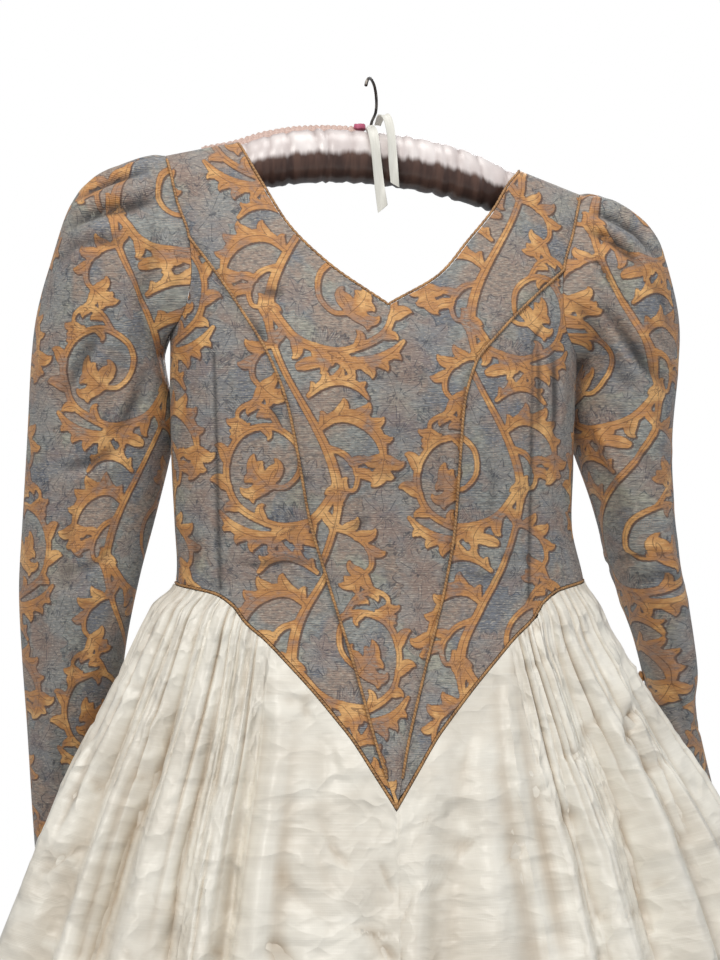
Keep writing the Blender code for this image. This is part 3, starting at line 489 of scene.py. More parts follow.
def drawStroke(points, radii, field, acrossField):
    s = tileSettings
    high, wide = field.shape
    for a, b, ra, rb in zip(points, points[1:], radii, radii[1:]):
        reach = max(ra, rb) + 5
        low = np.floor((np.minimum(a, b) - reach) / s["step"]).astype(int)
        top = np.ceil((np.maximum(a, b) + reach) / s["step"]).astype(int)
        ix, iy = np.arange(low[0], top[0]), np.arange(low[1], top[1])
        x, y = np.meshgrid(ix * s["step"], iy * s["step"])
        d = b - a
        length = max(np.hypot(*d), 1e-6)
        t = np.clip(((x - a[0]) * d[0] + (y - a[1]) * d[1]) / length**2, 0, 1)
        ex, ey = x - a[0] - d[0] * t, y - a[1] - d[1] * t
        far = np.hypot(ex, ey) - (ra + (rb - ra) * t)
        side = (ex * -d[1] + ey * d[0]) / length
        place = np.ix_(iy % high, ix % wide)
        closer = far < field[place]
        acrossField[place] = np.where(closer, side, acrossField[place])
        field[place] = np.where(closer, far, field[place])


def stroke(points, radii, ink=False, count=10):
    path = curve(points, count)
    share = np.linspace(0, 1, len(path))
    wide = np.interp(share, np.linspace(0, 1, len(radii)), radii) + (0 if ink else tileSettings["fatter"])
    fields = (inkField, inkAcross) if ink else (goldField, goldAcross)
    s = tileSettings
    drawStroke(path, wide, *fields)
    turned = path * (-1, 1) + (2 * s["middle"], s["height"] / 2)  # the second half of the repeat is its mirror
    drawStroke(turned, wide, *fields)


def lobe(x, y, angle, length, wide, curl=0.0, ink=False):
    turns = math.radians(angle) + math.radians(curl) * np.linspace(-0.15, 1.0, 10) ** 2
    steps = np.stack([np.cos(turns), np.sin(turns)], 1) * length / 10
    points = np.concatenate([[(x, y)], np.array([x, y]) + np.cumsum(steps, 0)])
    share = np.linspace(0, 1, 11)
    radii = wide * np.interp(share, (0, 0.25, 0.55, 0.8, 1), (0.62, 1.0, 0.92, 0.5, 0.1))
    stroke(points, radii, ink, 2)


def leafEnd(x, y, angle, size, curl=60):
    # a broad middle lobe that hooks over, with one lobe curling out at each side of it
    lobe(x, y, angle, size, size * 0.23, curl)
    lobe(x, y, angle + 62, size * 0.72, size * 0.19, 88)
    lobe(x, y, angle - 62, size * 0.72, size * 0.19, -88)
    a = math.radians(angle)
    mx, my = x + math.cos(a) * size * 0.34, y + math.sin(a) * size * 0.34
    lobe(mx, my, angle + 40, size * 0.46, size * 0.15, 70)
    lobe(mx, my, angle - 40, size * 0.46, size * 0.15, -70)


def fringe(points, starts, way, lengths, ink=False, fat=0.26, lean=38, curl=66):
    path = curve(points)
    for share, length in zip(starts, lengths):
        i = int(share * (len(path) - 2))
        d = path[i + 1] - path[i]
        angle = math.degrees(math.atan2(d[1], d[0]))
        lobe(*path[i], angle + way * lean, length, length * fat, way * curl, ink)


def halfLeaf(points, size, way=1):
    # a long leaf, plain along one edge and scalloped along the other
    stroke(points, (size * 0.07, size * 0.16, size * 0.19, size * 0.15, size * 0.05))
    reaches = [size * k for k in (0.40, 0.54, 0.60, 0.52, 0.40)]
    fringe(points, (0.10, 0.27, 0.44, 0.61, 0.78), way, reaches, fat=0.28)


def spiralPoints(x, y, turns, reaches):
    turned = zip(np.radians(turns), reaches)
    return [(x + r * math.cos(t), y + r * math.sin(t)) for t, r in turned]


def drawScrolls():
    stem = [(100 + 30 * math.sin(2 * math.pi * y / 300), y) for y in np.linspace(0, 150, 16)]
    stroke(stem, (2.4, 2.9, 3.6, 3.9, 3.0, 2.3, 2.0, 2.4), count=4)
    # the branch that leaves the stem's bend and turns inward
    turns = (14, 40, 65, 90, 135, 180, 225, 270, 315, 360, 405, 450)
    spiral = spiralPoints(62, 56, turns, (67, 60, 52, 46, 42, 39, 37, 34, 30, 25, 20, 15))
    stroke(spiral, (3.8, 3.6, 3.0, 2.7, 2.5, 2.3, 2.1, 1.9, 1.6, 1.4))
    fringe(spiral, (0.10, 0.16, 0.23), -1, (19, 24, 20), fat=0.25, curl=80)
    fringe(spiral, (0.36, 0.42, 0.48, 0.54), -1, (15, 19, 18, 14), fat=0.27)
    fringe(spiral, (0.30, 0.62), 1, (17, 14), fat=0.22, curl=100)
    leafEnd(60, 70, 222, 30, 70)
    lobe(64, 66, 300, 20, 4.4, -80)
    lobe(52, 74, 160, 18, 4.2, 90)
    # a long half leaf thrown over the spiral, and its small curl
    halfLeaf([(84, 104), (66, 112), (46, 112), (28, 104), (16, 92)], 27, -1)
    stroke([(70, 24), (60, 10), (46, 4), (34, 10), (34, 20)], (1.8, 2.2, 2.0, 1.5, 1.0))
    leafEnd(34, 18, 100, 16, 60)
    fringe([(70, 24), (60, 10), (46, 4), (34, 10)], (0.3, 0.6), -1, (13, 12), fat=0.26)
    # the great leaf on the stem's outer side
    halfLeaf([(112, 20), (128, 8), (148, 10), (164, 24), (170, 44)], 31, -1)
    leafEnd(169, 42, 96, 27, 60)
    stroke([(122, 34), (136, 40), (146, 54), (144, 68), (134, 70)], (2.0, 2.2, 1.9, 1.5, 1.1))
    leafEnd(136, 70, 190, 18, -60)
    lobe(146, 54, 10, 19, 4.4, 80)
    lobe(141, 46, 340, 15, 3.6, 70)
    # hooks below the bend
    stroke([(124, 100), (138, 104), (152, 116), (154, 132), (144, 142)], (2.6, 2.5, 2.2, 1.8, 1.2))
    leafEnd(146, 140, 140, 24, 60)
    fringe([(124, 100), (138, 104), (152, 116), (154, 132)], (0.25, 0.5, 0.75), -1, (17, 19, 16), fat=0.26)
    halfLeaf([(96, 142), (84, 132), (70, 128), (56, 132), (46, 142)], 22, 1)
    lobe(104, 118, 200, 24, 5.0, -70)
    lobe(118, 88, 60, 18, 4.2, -70)


# x, y, size and turn of each flower, then x, y, angle and size of each spray
flowerRows = (
    (170, 92, 25, 10), (104, 60, 17, 40), (22, 140, 24, 0), (120, 146, 19, 20), (8, 20, 22, 55),
    (48, 52, 14, 8),
)
sprayRows = (
    (48, 8, 150, 40), (180, 60, 250, 40), (6, 64, 80, 44), (96, 104, 190, 38), (140, 90, 20, 40),
    (66, 140, 200, 40), (186, 130, 240, 42),
)


def drawFlowers():
    # open flowers and fern sprays, woven tone on tone
    for x, y, size, turn in flowerRows:
        for ring, petals, far in ((1.0, 9, 0.34), (0.62, 7, 0.16), (0.30, 5, 0.0)):
            for k in range(petals):
                a = turn + ring * 50 + k * 360 / petals
                dx, dy = math.cos(math.radians(a)), math.sin(math.radians(a))
                long, wide = size * ring * 0.70, size * ring * 0.26
                lobe(x + dx * size * far, y + dy * size * far, a, long, wide, 18, True)
    for x, y, angle, size in sprayRows:
        a = math.radians(angle)
        bent = (x + size * 0.5 * math.cos(a + 0.3), y + size * 0.5 * math.sin(a + 0.3))
        stalk = [(x, y), bent, (x + size * math.cos(a), y + size * math.sin(a))]
        stroke(stalk, (0.9, 0.6), True)
        for way in (1, -1):
            starts = (0.06, 0.18, 0.30, 0.42, 0.54, 0.66, 0.78, 0.88)
            fringe(stalk, starts, way, (14, 16, 16, 15, 13, 11, 9, 7), True, 0.16, 48, 30)


def sampled(field, u, v):
    high, wide = field.shape
    x, y = u * 1000 / tileSettings["step"], v * 1000 / tileSettings["step"]
    ix, iy = np.floor(x).astype(int), np.floor(y).astype(int)
    fx, fy = x - ix, y - iy
    a, b = field[iy % high, ix % wide], field[iy % high, (ix + 1) % wide]
    c, d = field[(iy + 1) % high, ix % wide], field[(iy + 1) % high, (ix + 1) % wide]
    return (a * (1 - fx) + b * fx) * (1 - fy) + (c * (1 - fx) + d * fx) * fy


def motifAt(flat):
    u, v = flat[:, 0], flat[:, 1]
    return {
        "gold": sampled(goldField, u, v),
        "goldLit": sampled(goldField, u - 0.0009, v - 0.0009),
        "goldVein": sampled(goldAcross, u, v),
        "ink": sampled(inkField, u, v),
        "inkVein": sampled(inkAcross, u, v),
    }


print("brocade repeat")
drawScrolls()
drawFlowers()


# shader pieces that several materials use
class Wires:
    def __init__(self, tree):
        self.tree = tree

    def add(self, kind, values=None, **facts):
        node = self.tree.nodes.new(kind)
        for key, value in facts.items():
            setattr(node, key, value)
        for key, value in (values or {}).items():
            socket = node.inputs[key]
            if isinstance(value, bpy.types.NodeSocket):
                self.tree.links.new(value, socket)
            else:
                socket.default_value = value
        return node

    def cloth(self):
        return self.add("ShaderNodeUVMap", uv_map="cloth").outputs[0]

    def axes(self, vector):
        return self.add("ShaderNodeSeparateXYZ", {0: vector}).outputs

    def grain(self, vector, scale, *facts):
        return self.noise(self.scaled(vector, scale), 1.0, *facts)

    def plus(self, a, b):
        return self.math("ADD", a, b)

    def size(self, value):
        return self.math("ABSOLUTE", value)

    def wave(self, value):
        return self.math("SINE", value)

    def join(self, value, socket):
        self.tree.links.new(value, socket)

    def times(self, a, b):
        return self.math("MULTIPLY", a, b)

    def linear(self, value, factor, offset):
        return self.math("MULTIPLY_ADD", value, factor, offset)

    def less(self, value, clamp=False):  # what is left of one
        return self.math("SUBTRACT", 1.0, value, clamp=clamp)

    def math(self, operation, a, b=0.0, c=0.0, clamp=False):
        return self.add("ShaderNodeMath", {0: a, 1: b, 2: c}, operation=operation, use_clamp=clamp).outputs[0]

    def edge(self, value, low, high):  # 0 below low and 1 above high, softly
        node = self.add("ShaderNodeMapRange", {"Value": value, "From Min": low, "From Max": high})
        node.interpolation_type = "SMOOTHSTEP"
        return node.outputs[0]

    def mix(self, share, a, b):
        node = self.add("ShaderNodeMix", data_type="RGBA")
        for index, value in ((0, share), (6, a), (7, b)):
            if isinstance(value, bpy.types.NodeSocket):
                self.tree.links.new(value, node.inputs[index])
            else:
                node.inputs[index].default_value = value
        return node.outputs[2]

    def noise(self, vector, scale, detail=3.0, rough=0.5, distortion=0.0):
        values = {"Scale": scale, "Detail": detail, "Roughness": rough, "Distortion": distortion}
        return self.add("ShaderNodeTexNoise", {"Vector": vector, **values}).outputs["Fac"]

    def scaled(self, vector, scale):
        return self.add("ShaderNodeMapping", {"Vector": vector, "Scale": scale}).outputs[0]

    def attribute(self, name):
        return self.add("ShaderNodeAttribute", attribute_name=name).outputs["Fac"]


def colour(code):
    parts = [int(code[i : i + 2], 16) / 255 for i in (1, 3, 5)]
    return tuple(c / 12.92 if c <= 0.04045 else ((c + 0.055) / 1.055) ** 2.4 for c in parts) + (1.0,)


def makeGroup(name, inputs, outputs):
    group = bpy.data.node_groups.new(name, "ShaderNodeTree")
    for label, kind, value in inputs:
        socket = group.interface.new_socket(label, in_out="INPUT", socket_type="NodeSocket" + kind)
        if value is not None:
            socket.default_value = value
    for label, kind in outputs:
        group.interface.new_socket(label, in_out="OUTPUT", socket_type="NodeSocket" + kind)
    start, end = group.nodes.new("NodeGroupInput"), group.nodes.new("NodeGroupOutput")
    return group, Wires(group), start.outputs, end.inputs


def weaveGroup():
    group, wires, given, made = makeGroup(
        "wovenRibs",
        (
            ("Vector", "Vector", None), ("Rib Size", "Float", 0.0011),
            ("Thread Size", "Float", 0.0007), ("Slubs", "Float", 0.4),
        ),
        (("Height", "Float"), ("Thread", "Float"), ("Slub", "Float")),
    )
    place = wires.axes(given["Vector"])
    waver = wires.grain(given["Vector"], (14.0, 90.0, 1.0), 2.0)
    rows = wires.plus(place[1], wires.times(waver, 0.004))
    rib = wires.wave(wires.times(wires.math("DIVIDE", rows, given["Rib Size"]), math.tau))
    thread = wires.wave(wires.times(wires.math("DIVIDE", place[0], given["Thread Size"]), math.tau))
    slub = wires.grain(given["Vector"], (26.0, 620.0, 1.0), 3.0, 0.65)
    slub = wires.edge(slub, 0.42, 0.74)
    height = wires.plus(wires.times(rib, 0.5), wires.times(thread, 0.18))
    height = wires.plus(height, wires.times(slub, given["Slubs"]))
    wires.join(height, made["Height"])
    wires.join(wires.linear(rib, 0.5, 0.5), made["Thread"])
    wires.join(slub, made["Slub"])
    return group


def crumpleGroup():
    group, wires, given, made = makeGroup(
        "softCrumple",
        (("Vector", "Vector", None), ("Size", "Float", 0.03), ("Stretch", "Float", 1.0)),
        (("Height", "Float"), ("Facets", "Float"), ("Shade", "Float")),
    )
    place = wires.axes(given["Vector"])
    x = wires.math("DIVIDE", place[0], given["Size"])
    y = wires.math("DIVIDE", wires.times(place[1], given["Stretch"]), given["Size"])
    spread = wires.add("ShaderNodeCombineXYZ", {0: x, 1: y}).outputs[0]
    big = wires.noise(spread, 1.0, 2.0, 0.5, 0.8)
    fold = wires.less(wires.size(wires.linear(big, 6.0, -3.0)), clamp=True)
    small = wires.noise(spread, 3.3, 2.0, 0.5, 0.4)
    bent = wires.add("ShaderNodeTexNoise", {"Vector": spread, "Scale": 1.3, "Detail": 2.0}).outputs["Color"]
    bent = wires.add("ShaderNodeVectorMath", {0: bent, "Scale": 1.1}, operation="SCALE").outputs[0]
    bent = wires.add("ShaderNodeVectorMath", {0: spread, 1: bent}, operation="ADD").outputs[0]
    facets = []
    for scale, share in ((0.8, 1.0), (1.9, 0.45)):
        cell = wires.add("ShaderNodeTexVoronoi", feature="SMOOTH_F1")
        wires.join(bent, cell.inputs["Vector"])
        cell.inputs["Scale"].default_value, cell.inputs["Smoothness"].default_value = scale, 0.08
        facets.append(wires.times(cell.outputs["Distance"], share))
    wires.join(wires.plus(*facets), made["Facets"])
    wires.join(wires.plus(fold, wires.times(small, 0.7)), made["Height"])
    wires.join(wires.noise(spread, 0.45, 3.0, 0.6, 0.3), made["Shade"])
    return group


def newMaterial(name, roughness, metallic=0.0, **constants):
    made = bpy.data.materials.new(name)
    made.use_nodes = True
    shader = made.node_tree.nodes["Principled BSDF"]
    shader.inputs["Roughness"].default_value = roughness
    shader.inputs["Metallic"].default_value = metallic
    for key, value in constants.items():
        shader.inputs[key.replace("_", " ")].default_value = value
    return made, Wires(made.node_tree), shader.inputs


def bump(wires, sockets, height, distance, strength=1.0):
    node = wires.add("ShaderNodeBump", {"Height": height, "Distance": distance, "Strength": strength})
    wires.join(node.outputs[0], sockets["Normal"])


print("materials")
wovenRibs = weaveGroup()
softCrumple = crumpleGroup()

brocadeSettings = {
    "slate": "#525f72",
    "steel": "#838a8a",
    "moss": "#9b9c8d",
    "mauve": "#947b6c",
    "night": "#262c3a",
    "pale": "#c9bfae",
    "paleGold": "#e6b06c",
    "gold": "#bd7f40",
    "dullGold": "#9c6f54",
    "brown": "#54331f",
    "creaseShade": "#1c191a",
    "goldShade": "#8a5a35",
    "goldThread": "#ecc88f",
    "warmPetal": "#8d776e",
    "petal": "#8c8b8a",
    "lattice": "#a88f80",
    "rib": 0.0013,
}


def makeBrocade():
    s = brocadeSettings
    made, wires, sockets = newMaterial("scrollBrocade", 0.6, Sheen_Weight=0.12, Sheen_Roughness=0.5)
    cloth = wires.cloth()
    given = {"Vector": cloth, "Rib Size": s["rib"], "Slubs": 0.5}
    weave = wires.add("ShaderNodeGroup", given, node_tree=wovenRibs)
    ribs = weave.outputs["Thread"]

    def spots(size, low, high, detail=3.0, distortion=0.5):
        cloud = wires.grain(cloth, (*size, 1.0), detail, 0.58, distortion)
        return wires.edge(cloud, low, high)

    ground = wires.mix(spots((19.0, 13.0), 0.42, 0.58), colour(s["slate"]), colour(s["steel"]))
    ground = wires.mix(spots((13.0, 16.0), 0.50, 0.64), ground, colour(s["moss"]))
    ground = wires.mix(spots((15.0, 17.5), 0.46, 0.58, 4.0), ground, colour(s["mauve"]))
    mottle = spots((170.0, 330.0), 0.34, 0.66, 4.0)
    ground = wires.mix(wires.times(wires.less(mottle), 0.70), ground, colour(s["night"]))
    fleck = spots((260.0, 900.0), 0.50, 0.72, 2.0)
    ground = wires.mix(wires.times(fleck, 0.58), ground, colour(s["pale"]))
    ground = wires.mix(wires.times(ribs, 0.34), ground, colour(s["pale"]))

    place = wires.axes(cloth)
    left = wires.wave(wires.times(wires.plus(place[0], place[1]), math.tau / 0.0030))
    right = wires.wave(wires.times(wires.math("SUBTRACT", place[0], place[1]), math.tau / 0.0030))
    lattice = wires.edge(wires.times(left, right), 0.05, 0.6)
    zone = wires.times(spots((11.0, 10.0), 0.54, 0.62, 2.0), spots((31.0, 27.0), 0.40, 0.55, 2.0))
    ground = wires.mix(wires.times(wires.times(lattice, zone), 0.6), ground, colour(s["lattice"]))

    ink = wires.attribute("ink")
    inkVein = wires.size(wires.attribute("inkVein"))
    broken = spots((210.0, 160.0), 0.40, 0.60, 3.0)
    inkLine = wires.less(wires.edge(wires.size(ink), 0.2, 0.7))
    inkMiddle = wires.less(wires.edge(inkVein, 0.15, 0.55))
    inkInside = wires.less(wires.edge(ink, -0.9, -0.3))
    inkLine = wires.math("MAXIMUM", inkLine, wires.times(inkMiddle, inkInside))
    inkLine = wires.times(inkLine, wires.linear(broken, 0.55, 0.12))
    petals = wires.mix(spots((24.0, 31.0), 0.42, 0.60), colour(s["petal"]), colour(s["warmPetal"]))
    petals = wires.mix(wires.times(fleck, 0.5), petals, colour(s["pale"]))
    ground = wires.mix(wires.times(inkInside, 0.50), ground, petals)
    ground = wires.mix(inkLine, ground, colour(s["night"]))

    gold = wires.attribute("gold")
    lit = wires.attribute("goldLit")
    vein = wires.size(wires.attribute("goldVein"))
    ragged = wires.linear(wires.grain(cloth, (420.0, 1000.0, 1.0), 2.0), 1.3, -0.65)
    gold = wires.plus(gold, ragged)
    lit = wires.plus(lit, ragged)
    goldMask = wires.less(wires.edge(gold, -0.30, 0.15))
    # a painted shadow of the gold, cast to one side of each leaf, widens its brown outline there
    shadeSide = wires.less(wires.edge(lit, 0.1, 0.8))
    outlineAndShadow = wires.less(wires.edge(wires.size(wires.plus(gold, 0.1)), 0.2, 0.6))
    outlineAndShadow = wires.times(outlineAndShadow, wires.linear(broken, 0.5, 0.25))
    outlineAndShadow = wires.math("MAXIMUM", outlineAndShadow, wires.math("SUBTRACT", shadeSide, goldMask), clamp=True)
    inner = wires.less(wires.edge(gold, -2.6, -1.2))
    veinLine = wires.times(wires.less(wires.edge(vein, 0.16, 0.50)), inner)
    tone = wires.grain(cloth, (26.0, 34.0, 1.0), 3.0, 0.6, 0.4)
    yarn = wires.mix(wires.edge(tone, 0.38, 0.50), colour(s["dullGold"]), colour(s["gold"]))
    yarn = wires.mix(wires.edge(tone, 0.50, 0.64), yarn, colour(s["paleGold"]))
    yarn = wires.mix(wires.times(ribs, 0.20), yarn, colour(s["goldThread"]))
    yarn = wires.mix(wires.times(wires.less(mottle), 0.30), yarn, colour(s["goldShade"]))
    yarn = wires.mix(wires.times(veinLine, 0.60), yarn, colour(s["brown"]))
    thin = spots((140.0, 420.0), 0.42, 0.62, 3.0)
    solid = wires.edge(tone, 0.34, 0.46)  # the dull parts let the ground through
    cover = wires.linear(wires.times(thin, wires.less(solid)), -0.55, 0.98)
    face = wires.mix(wires.times(goldMask, cover), ground, yarn)
    face = wires.mix(wires.times(outlineAndShadow, 0.80), face, colour(s["brown"]))
    # painted shade: the brocade darkens almost to black in the hollows of its folds and creases
    face = wires.mix(wires.times(wires.attribute("hollowShade"), 0.80), face, colour(s["creaseShade"]))
    wires.join(face, sockets["Base Color"])

    rough = wires.linear(goldMask, -0.16, wires.linear(fleck, 0.12, 0.56))
    wires.join(rough, sockets["Roughness"])
    crumple = wires.add("ShaderNodeGroup", {"Vector": cloth, "Size": 0.06}, node_tree=softCrumple)
    height = wires.linear(goldMask, 0.9, wires.times(weave.outputs["Height"], 0.6))
    height = wires.linear(mottle, 0.7, height)
    height = wires.linear(crumple.outputs["Height"], 1.2, height)
    bump(wires, sockets, height, 0.0004)
    return made


silkSettings = {"light": "#e7e2d6", "shade": "#c8beae", "slub": "#f4f0e6", "hollowShade": "#917348", "rib": 0.0010}


def makeSilk(name, size):
    s = silkSettings
    made, wires, sockets = newMaterial(name, 0.40, Sheen_Weight=0.1, Sheen_Roughness=0.4)
    cloth = wires.cloth()
    given = {"Vector": cloth, "Rib Size": s["rib"], "Slubs": 0.9}
    weave = wires.add("ShaderNodeGroup", given, node_tree=wovenRibs)
    given = {"Vector": cloth, "Size": size, "Stretch": 0.8}
    crumple = wires.add("ShaderNodeGroup", given, node_tree=softCrumple)
    shade = wires.edge(crumple.outputs["Shade"], 0.44, 0.62)
    face = wires.mix(wires.times(shade, 0.45), colour(s["light"]), colour(s["shade"]))
    face = wires.mix(wires.times(weave.outputs["Slub"], 0.25), face, colour(s["slub"]))
    # painted shade: a warm tan darkening in the skirt's valleys and creases
    face = wires.mix(wires.times(wires.attribute("hollowShade"), 0.62), face, colour(s["hollowShade"]))
    wires.join(face, sockets["Base Color"])
    wires.join(wires.linear(weave.outputs["Slub"], -0.08, 0.42), sockets["Roughness"])
    height = wires.times(weave.outputs["Height"], 0.10)
    height = wires.linear(crumple.outputs["Facets"], 16.0, height)
    height = wires.linear(crumple.outputs["Height"], 0.8, height)
    bump(wires, sockets, height, 0.0004)
    return made


cordTones = {"dark": "#6d4a2c", "gold": "#a87a48", "lit": "#c79a62", "turn": 0.0082, "strand": 0.0030}


def makeCordFinish():
    s = cordTones
    made, wires, sockets = newMaterial("goldCord", 0.42, Sheen_Weight=0.1)
    cloth = wires.cloth()
    place = wires.axes(cloth)
    down, over = wires.times(place[1], math.tau / s["strand"]), wires.times(place[0], math.tau / s["turn"])
    turn = wires.plus(down, over)
    twist = wires.linear(wires.wave(turn), 0.5, 0.5)
    tone = wires.grain(cloth, (40.0, 60.0, 1.0), 3.0)
    face = wires.mix(wires.edge(tone, 0.35, 0.65), colour(s["dark"]), colour(s["gold"]))
    face = wires.mix(wires.times(twist, 0.42), face, colour(s["lit"]))
    wires.join(face, sockets["Base Color"])
    bump(wires, sockets, twist, 0.0004)
    return made


satinTones = {
    "pale": "#e4dcd9",
    "dull": "#cdc2bf",
    "crown": "#b3a5a3",
    "fold": "#8d7c78",
    "brown": "#43302a",
    "wearAndShade": "#5f463c",
}


def makeSatin():
    s = satinTones
    # pale satin above, and painted shade in dark brown over the underside of the pad
    made, wires, sockets = newMaterial("padSatin", 0.30, Sheen_Weight=0.1)
    cloth = wires.cloth()
    # painted shade: the pad's lower half turns dark brown, its edge broken by streaks
    low = wires.attribute("lowness")
    streaks = wires.grain(cloth, (90.0, 9.0, 1.0), 3.0, 0.55)
    # the gathers' depth sets painted shade in their folds, and draws the painted dark underside up into them
    fold = wires.attribute("hollowShade")
    edge = wires.plus(low, wires.linear(streaks, 0.30, -0.15))
    edge = wires.linear(fold, 0.14, edge)
    dark = wires.edge(edge, 0.46, 0.60)
    tone = wires.grain(cloth, (45.0, 18.0, 1.0), 2.0)
    pale = wires.mix(wires.edge(tone, 0.35, 0.65), colour(s["pale"]), colour(s["dull"]))
    # painted shade: the satin greys along the top of the pad
    pale = wires.mix(wires.edge(low, 0.12, 0.0), pale, colour(s["crown"]))
    pale = wires.mix(wires.times(fold, 0.8), pale, colour(s["fold"]))
    # the painted shade under the pad, in two browns streaked together
    brown = wires.mix(wires.edge(streaks, 0.40, 0.66), colour(s["brown"]), colour(s["wearAndShade"]))
    wires.join(wires.mix(dark, pale, brown), sockets["Base Color"])
    bump(wires, sockets, streaks, 0.00012)
    return made


def makeGrained(name, roughness, scale, low, high, depth, **constants):  # two tones in a fine grain
    made, wires, sockets = newMaterial(name, roughness, **constants)
    grain = wires.grain(wires.cloth(), scale, 2.0)
    wires.join(wires.mix(grain, colour(low), colour(high)), sockets["Base Color"])
    bump(wires, sockets, grain, depth)
    return made


def makeRose():
    made, wires, sockets = newMaterial("roseSilk", 0.55, Sheen_Weight=0.3)
    cloth = wires.cloth()
    place = wires.axes(cloth)
    # each petal pales towards its top: a painted highlight
    edge = wires.edge(place[1], 0.0, 1.0)
    grain = wires.grain(cloth, (20.0, 8.0, 1.0), 2.0)
    share = wires.times(edge, wires.linear(grain, 0.6, 0.5))
    wires.join(wires.mix(share, colour("#7c2440"), colour("#c65f7f")), sockets["Base Color"])
    return made


def makeSteel():
    made, wires, sockets = newMaterial("hookSteel", 0.3, 0.9)
    place = wires.add("ShaderNodeTexCoord").outputs["Object"]
    grain = wires.noise(place, 500.0, 3.0)
    wearAndShade = wires.edge(wires.noise(place, 120.0, 2.0), 0.35, 0.65)
    wires.join(wires.mix(wearAndShade, colour("#3d3835"), colour("#7d756d")), sockets["Base Color"])
    wires.join(wires.linear(grain, 0.25, 0.20), sockets["Roughness"])
    bump(wires, sockets, grain, 0.00008)
    return made


def makeFloor():
    made, _, sockets = newMaterial("paleFloor", 0.8)
    sockets["Base Color"].default_value = colour("#f2f1ee")
    return made


brocade = makeBrocade()
silk = makeSilk("ivorySilk", 0.034)
cordFinish = makeCordFinish()
satin = makeSatin()
ribbonSatin = makeGrained("ribbonSatin", 0.38, (900, 60, 1), "#c4c2b8", "#e2e0d8", 0.0001, Sheen_Weight=0.1)
roseSilk = makeRose()
tanTrim = makeGrained("tanTrim", 0.7, (700, 700, 1), "#b8968a", "#e8d3c8", 0.0003)
steel = makeSteel()


def dressed(piece, nodes):
    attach(piece, rest)
    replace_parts(piece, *nodes)
    return piece


# bodice
bodiceSettings = {
    "thickness": 0.0015,
    "seamDip": 0.0010,
    "seamWidth": 0.0035,
    "frontColumns": 91,
    "frontRows": 340,
    "sideColumns": 91,
    "sideRows": 256,
    "backColumns": 73,
    "backRows": 193,
    "frontCreases": (
        ((-105, 201, -94, 201, -83, 202), 6, -1.7), ((-115, 221, -106, 234, -99, 246), 6, -1.8),
        ((-98, 296, -92, 306, -89, 316), 5, -1.2), ((-118, 270, -109, 263, -99, 260), 8, 1.3),
        ((48, 292, 46, 334, 48, 377, 51, 407), 6, -1.3), ((-28, 404, -20, 396, -12, 390), 5, -1.2),
        ((-135, 429, -107, 432, -78, 428, -51, 433), 4, -0.9), ((-135, 436, -100, 440, -62, 437), 4, 0.8),
        ((144, 229, 146, 274, 147, 317), 4, 1.5), ((138, 232, 139, 276, 138, 322), 3.5, -1.3),
        ((162, 245, 163, 283, 162, 317), 5, 1.4), ((154, 250, 155, 285, 154, 325), 4, -1.4),
        ((-20, 268, 10, 276, 38, 270), 12, -1.1), ((-30, 330, -5, 352, 25, 366), 9, -0.9),
        ((85, 330, 95, 362, 92, 400), 7, -1.1), ((-70, 344, -78, 380, -74, 420), 7, -1.0),
        ((100, 424, 120, 430, 140, 426), 5, -0.9), ((70, 440, 98, 446, 128, 441), 4, -0.8),
        ((-150, 180, -148, 205, -140, 225), 6, 1.3), ((-160, 400, -158, 425, -160, 445), 5, -1.0),
        ((-6, 480, 4, 520, 8, 560), 6, -0.8), ((15, 300, 4, 312, -12, 316), 5, 0.8),
    ),
    "backCreases": (
        ((-90, 300, -60, 330, -50, 380), 10, -1.3), ((80, 290, 70, 340, 52, 390), 11, -1.2),
        ((-120, 400, -80, 410, -40, 404), 5, -1.0), ((-130, 425, -90, 430, -50, 424), 4, 0.9),
        ((40, 415, 80, 424, 125, 418), 5, -1.0), ((150, 250, 152, 300, 148, 350), 5, 1.1),
        ((-150, 250, -152, 290, -148, 340), 5, -1.1), ((20, 320, 50, 300, 90, 310), 7, -0.8),
    ),
    "darts": {
        -1: ((-0.144, 0.254), (-0.142, 0.318), (-0.140, 0.393), (-0.138, 0.452)),
        1: ((0.143, 0.226), (0.133, 0.240), (0.131, 0.308), (0.132, 0.394), (0.130, 0.463)),
    },
}


def lineDistance(x, z, points):
    best = np.full(x.shape, 1e9)
    p = np.array(points, float) * (1, -1)
    for a, b in zip(p, p[1:]):
        d = b - a
        t = np.clip(((x - a[0]) * d[0] + (z - a[1]) * d[1]) / (d @ d), 0, 1)
        best = np.minimum(best, np.hypot(x - a[0] - d[0] * t, z - a[1] - d[1] * t))
    return best


def bodiceRelief(points, creases, darts, seams):
    s = bodiceSettings
    x, z = points[..., 0], points[..., 2]
    rise = creaseHeight(x, z, creases)
    for line in darts:
        rise = rise - 0.0009 * np.exp(-((lineDistance(x, z, line) / 0.0016) ** 2))
        rise = rise - 0.0007 * np.exp(-((lineDistance(x, z, line) / 0.007) ** 2))
    for far in seams:  # each side of a seam rolls gently down to it
        rise = rise - s["seamDip"] * np.exp(-((far / s["seamWidth"]) ** 2))
    return rise


def girthTable():  # lengths round the form from its front middle, at one height
    angles = np.linspace(-math.pi / 2, 3 * math.pi / 2, 721)
    line = form(angles, np.full(angles.shape, 0.34))
    gone = lengthAlong(line)
    start = formAngle(np.array(frontMiddle), np.array(0.34))
    return angles, gone - np.interp(start, angles, gone)


def clothFlat(angle, drop):  # where a point lies on the cloth's own repeat
    angles, gone = bodiceGirth
    wide = at(formTable, "left", drop) + at(formTable, "right", drop)
    return np.stack([-np.interp(angle, angles, gone) * wide / 0.364, drop], -1)


bodiceGirth = girthTable()


def frontNeckRow():  # the row at which the two halves of the front meet, below the neck
    return 3 * round(bodiceSettings["frontRows"] * 0.12)


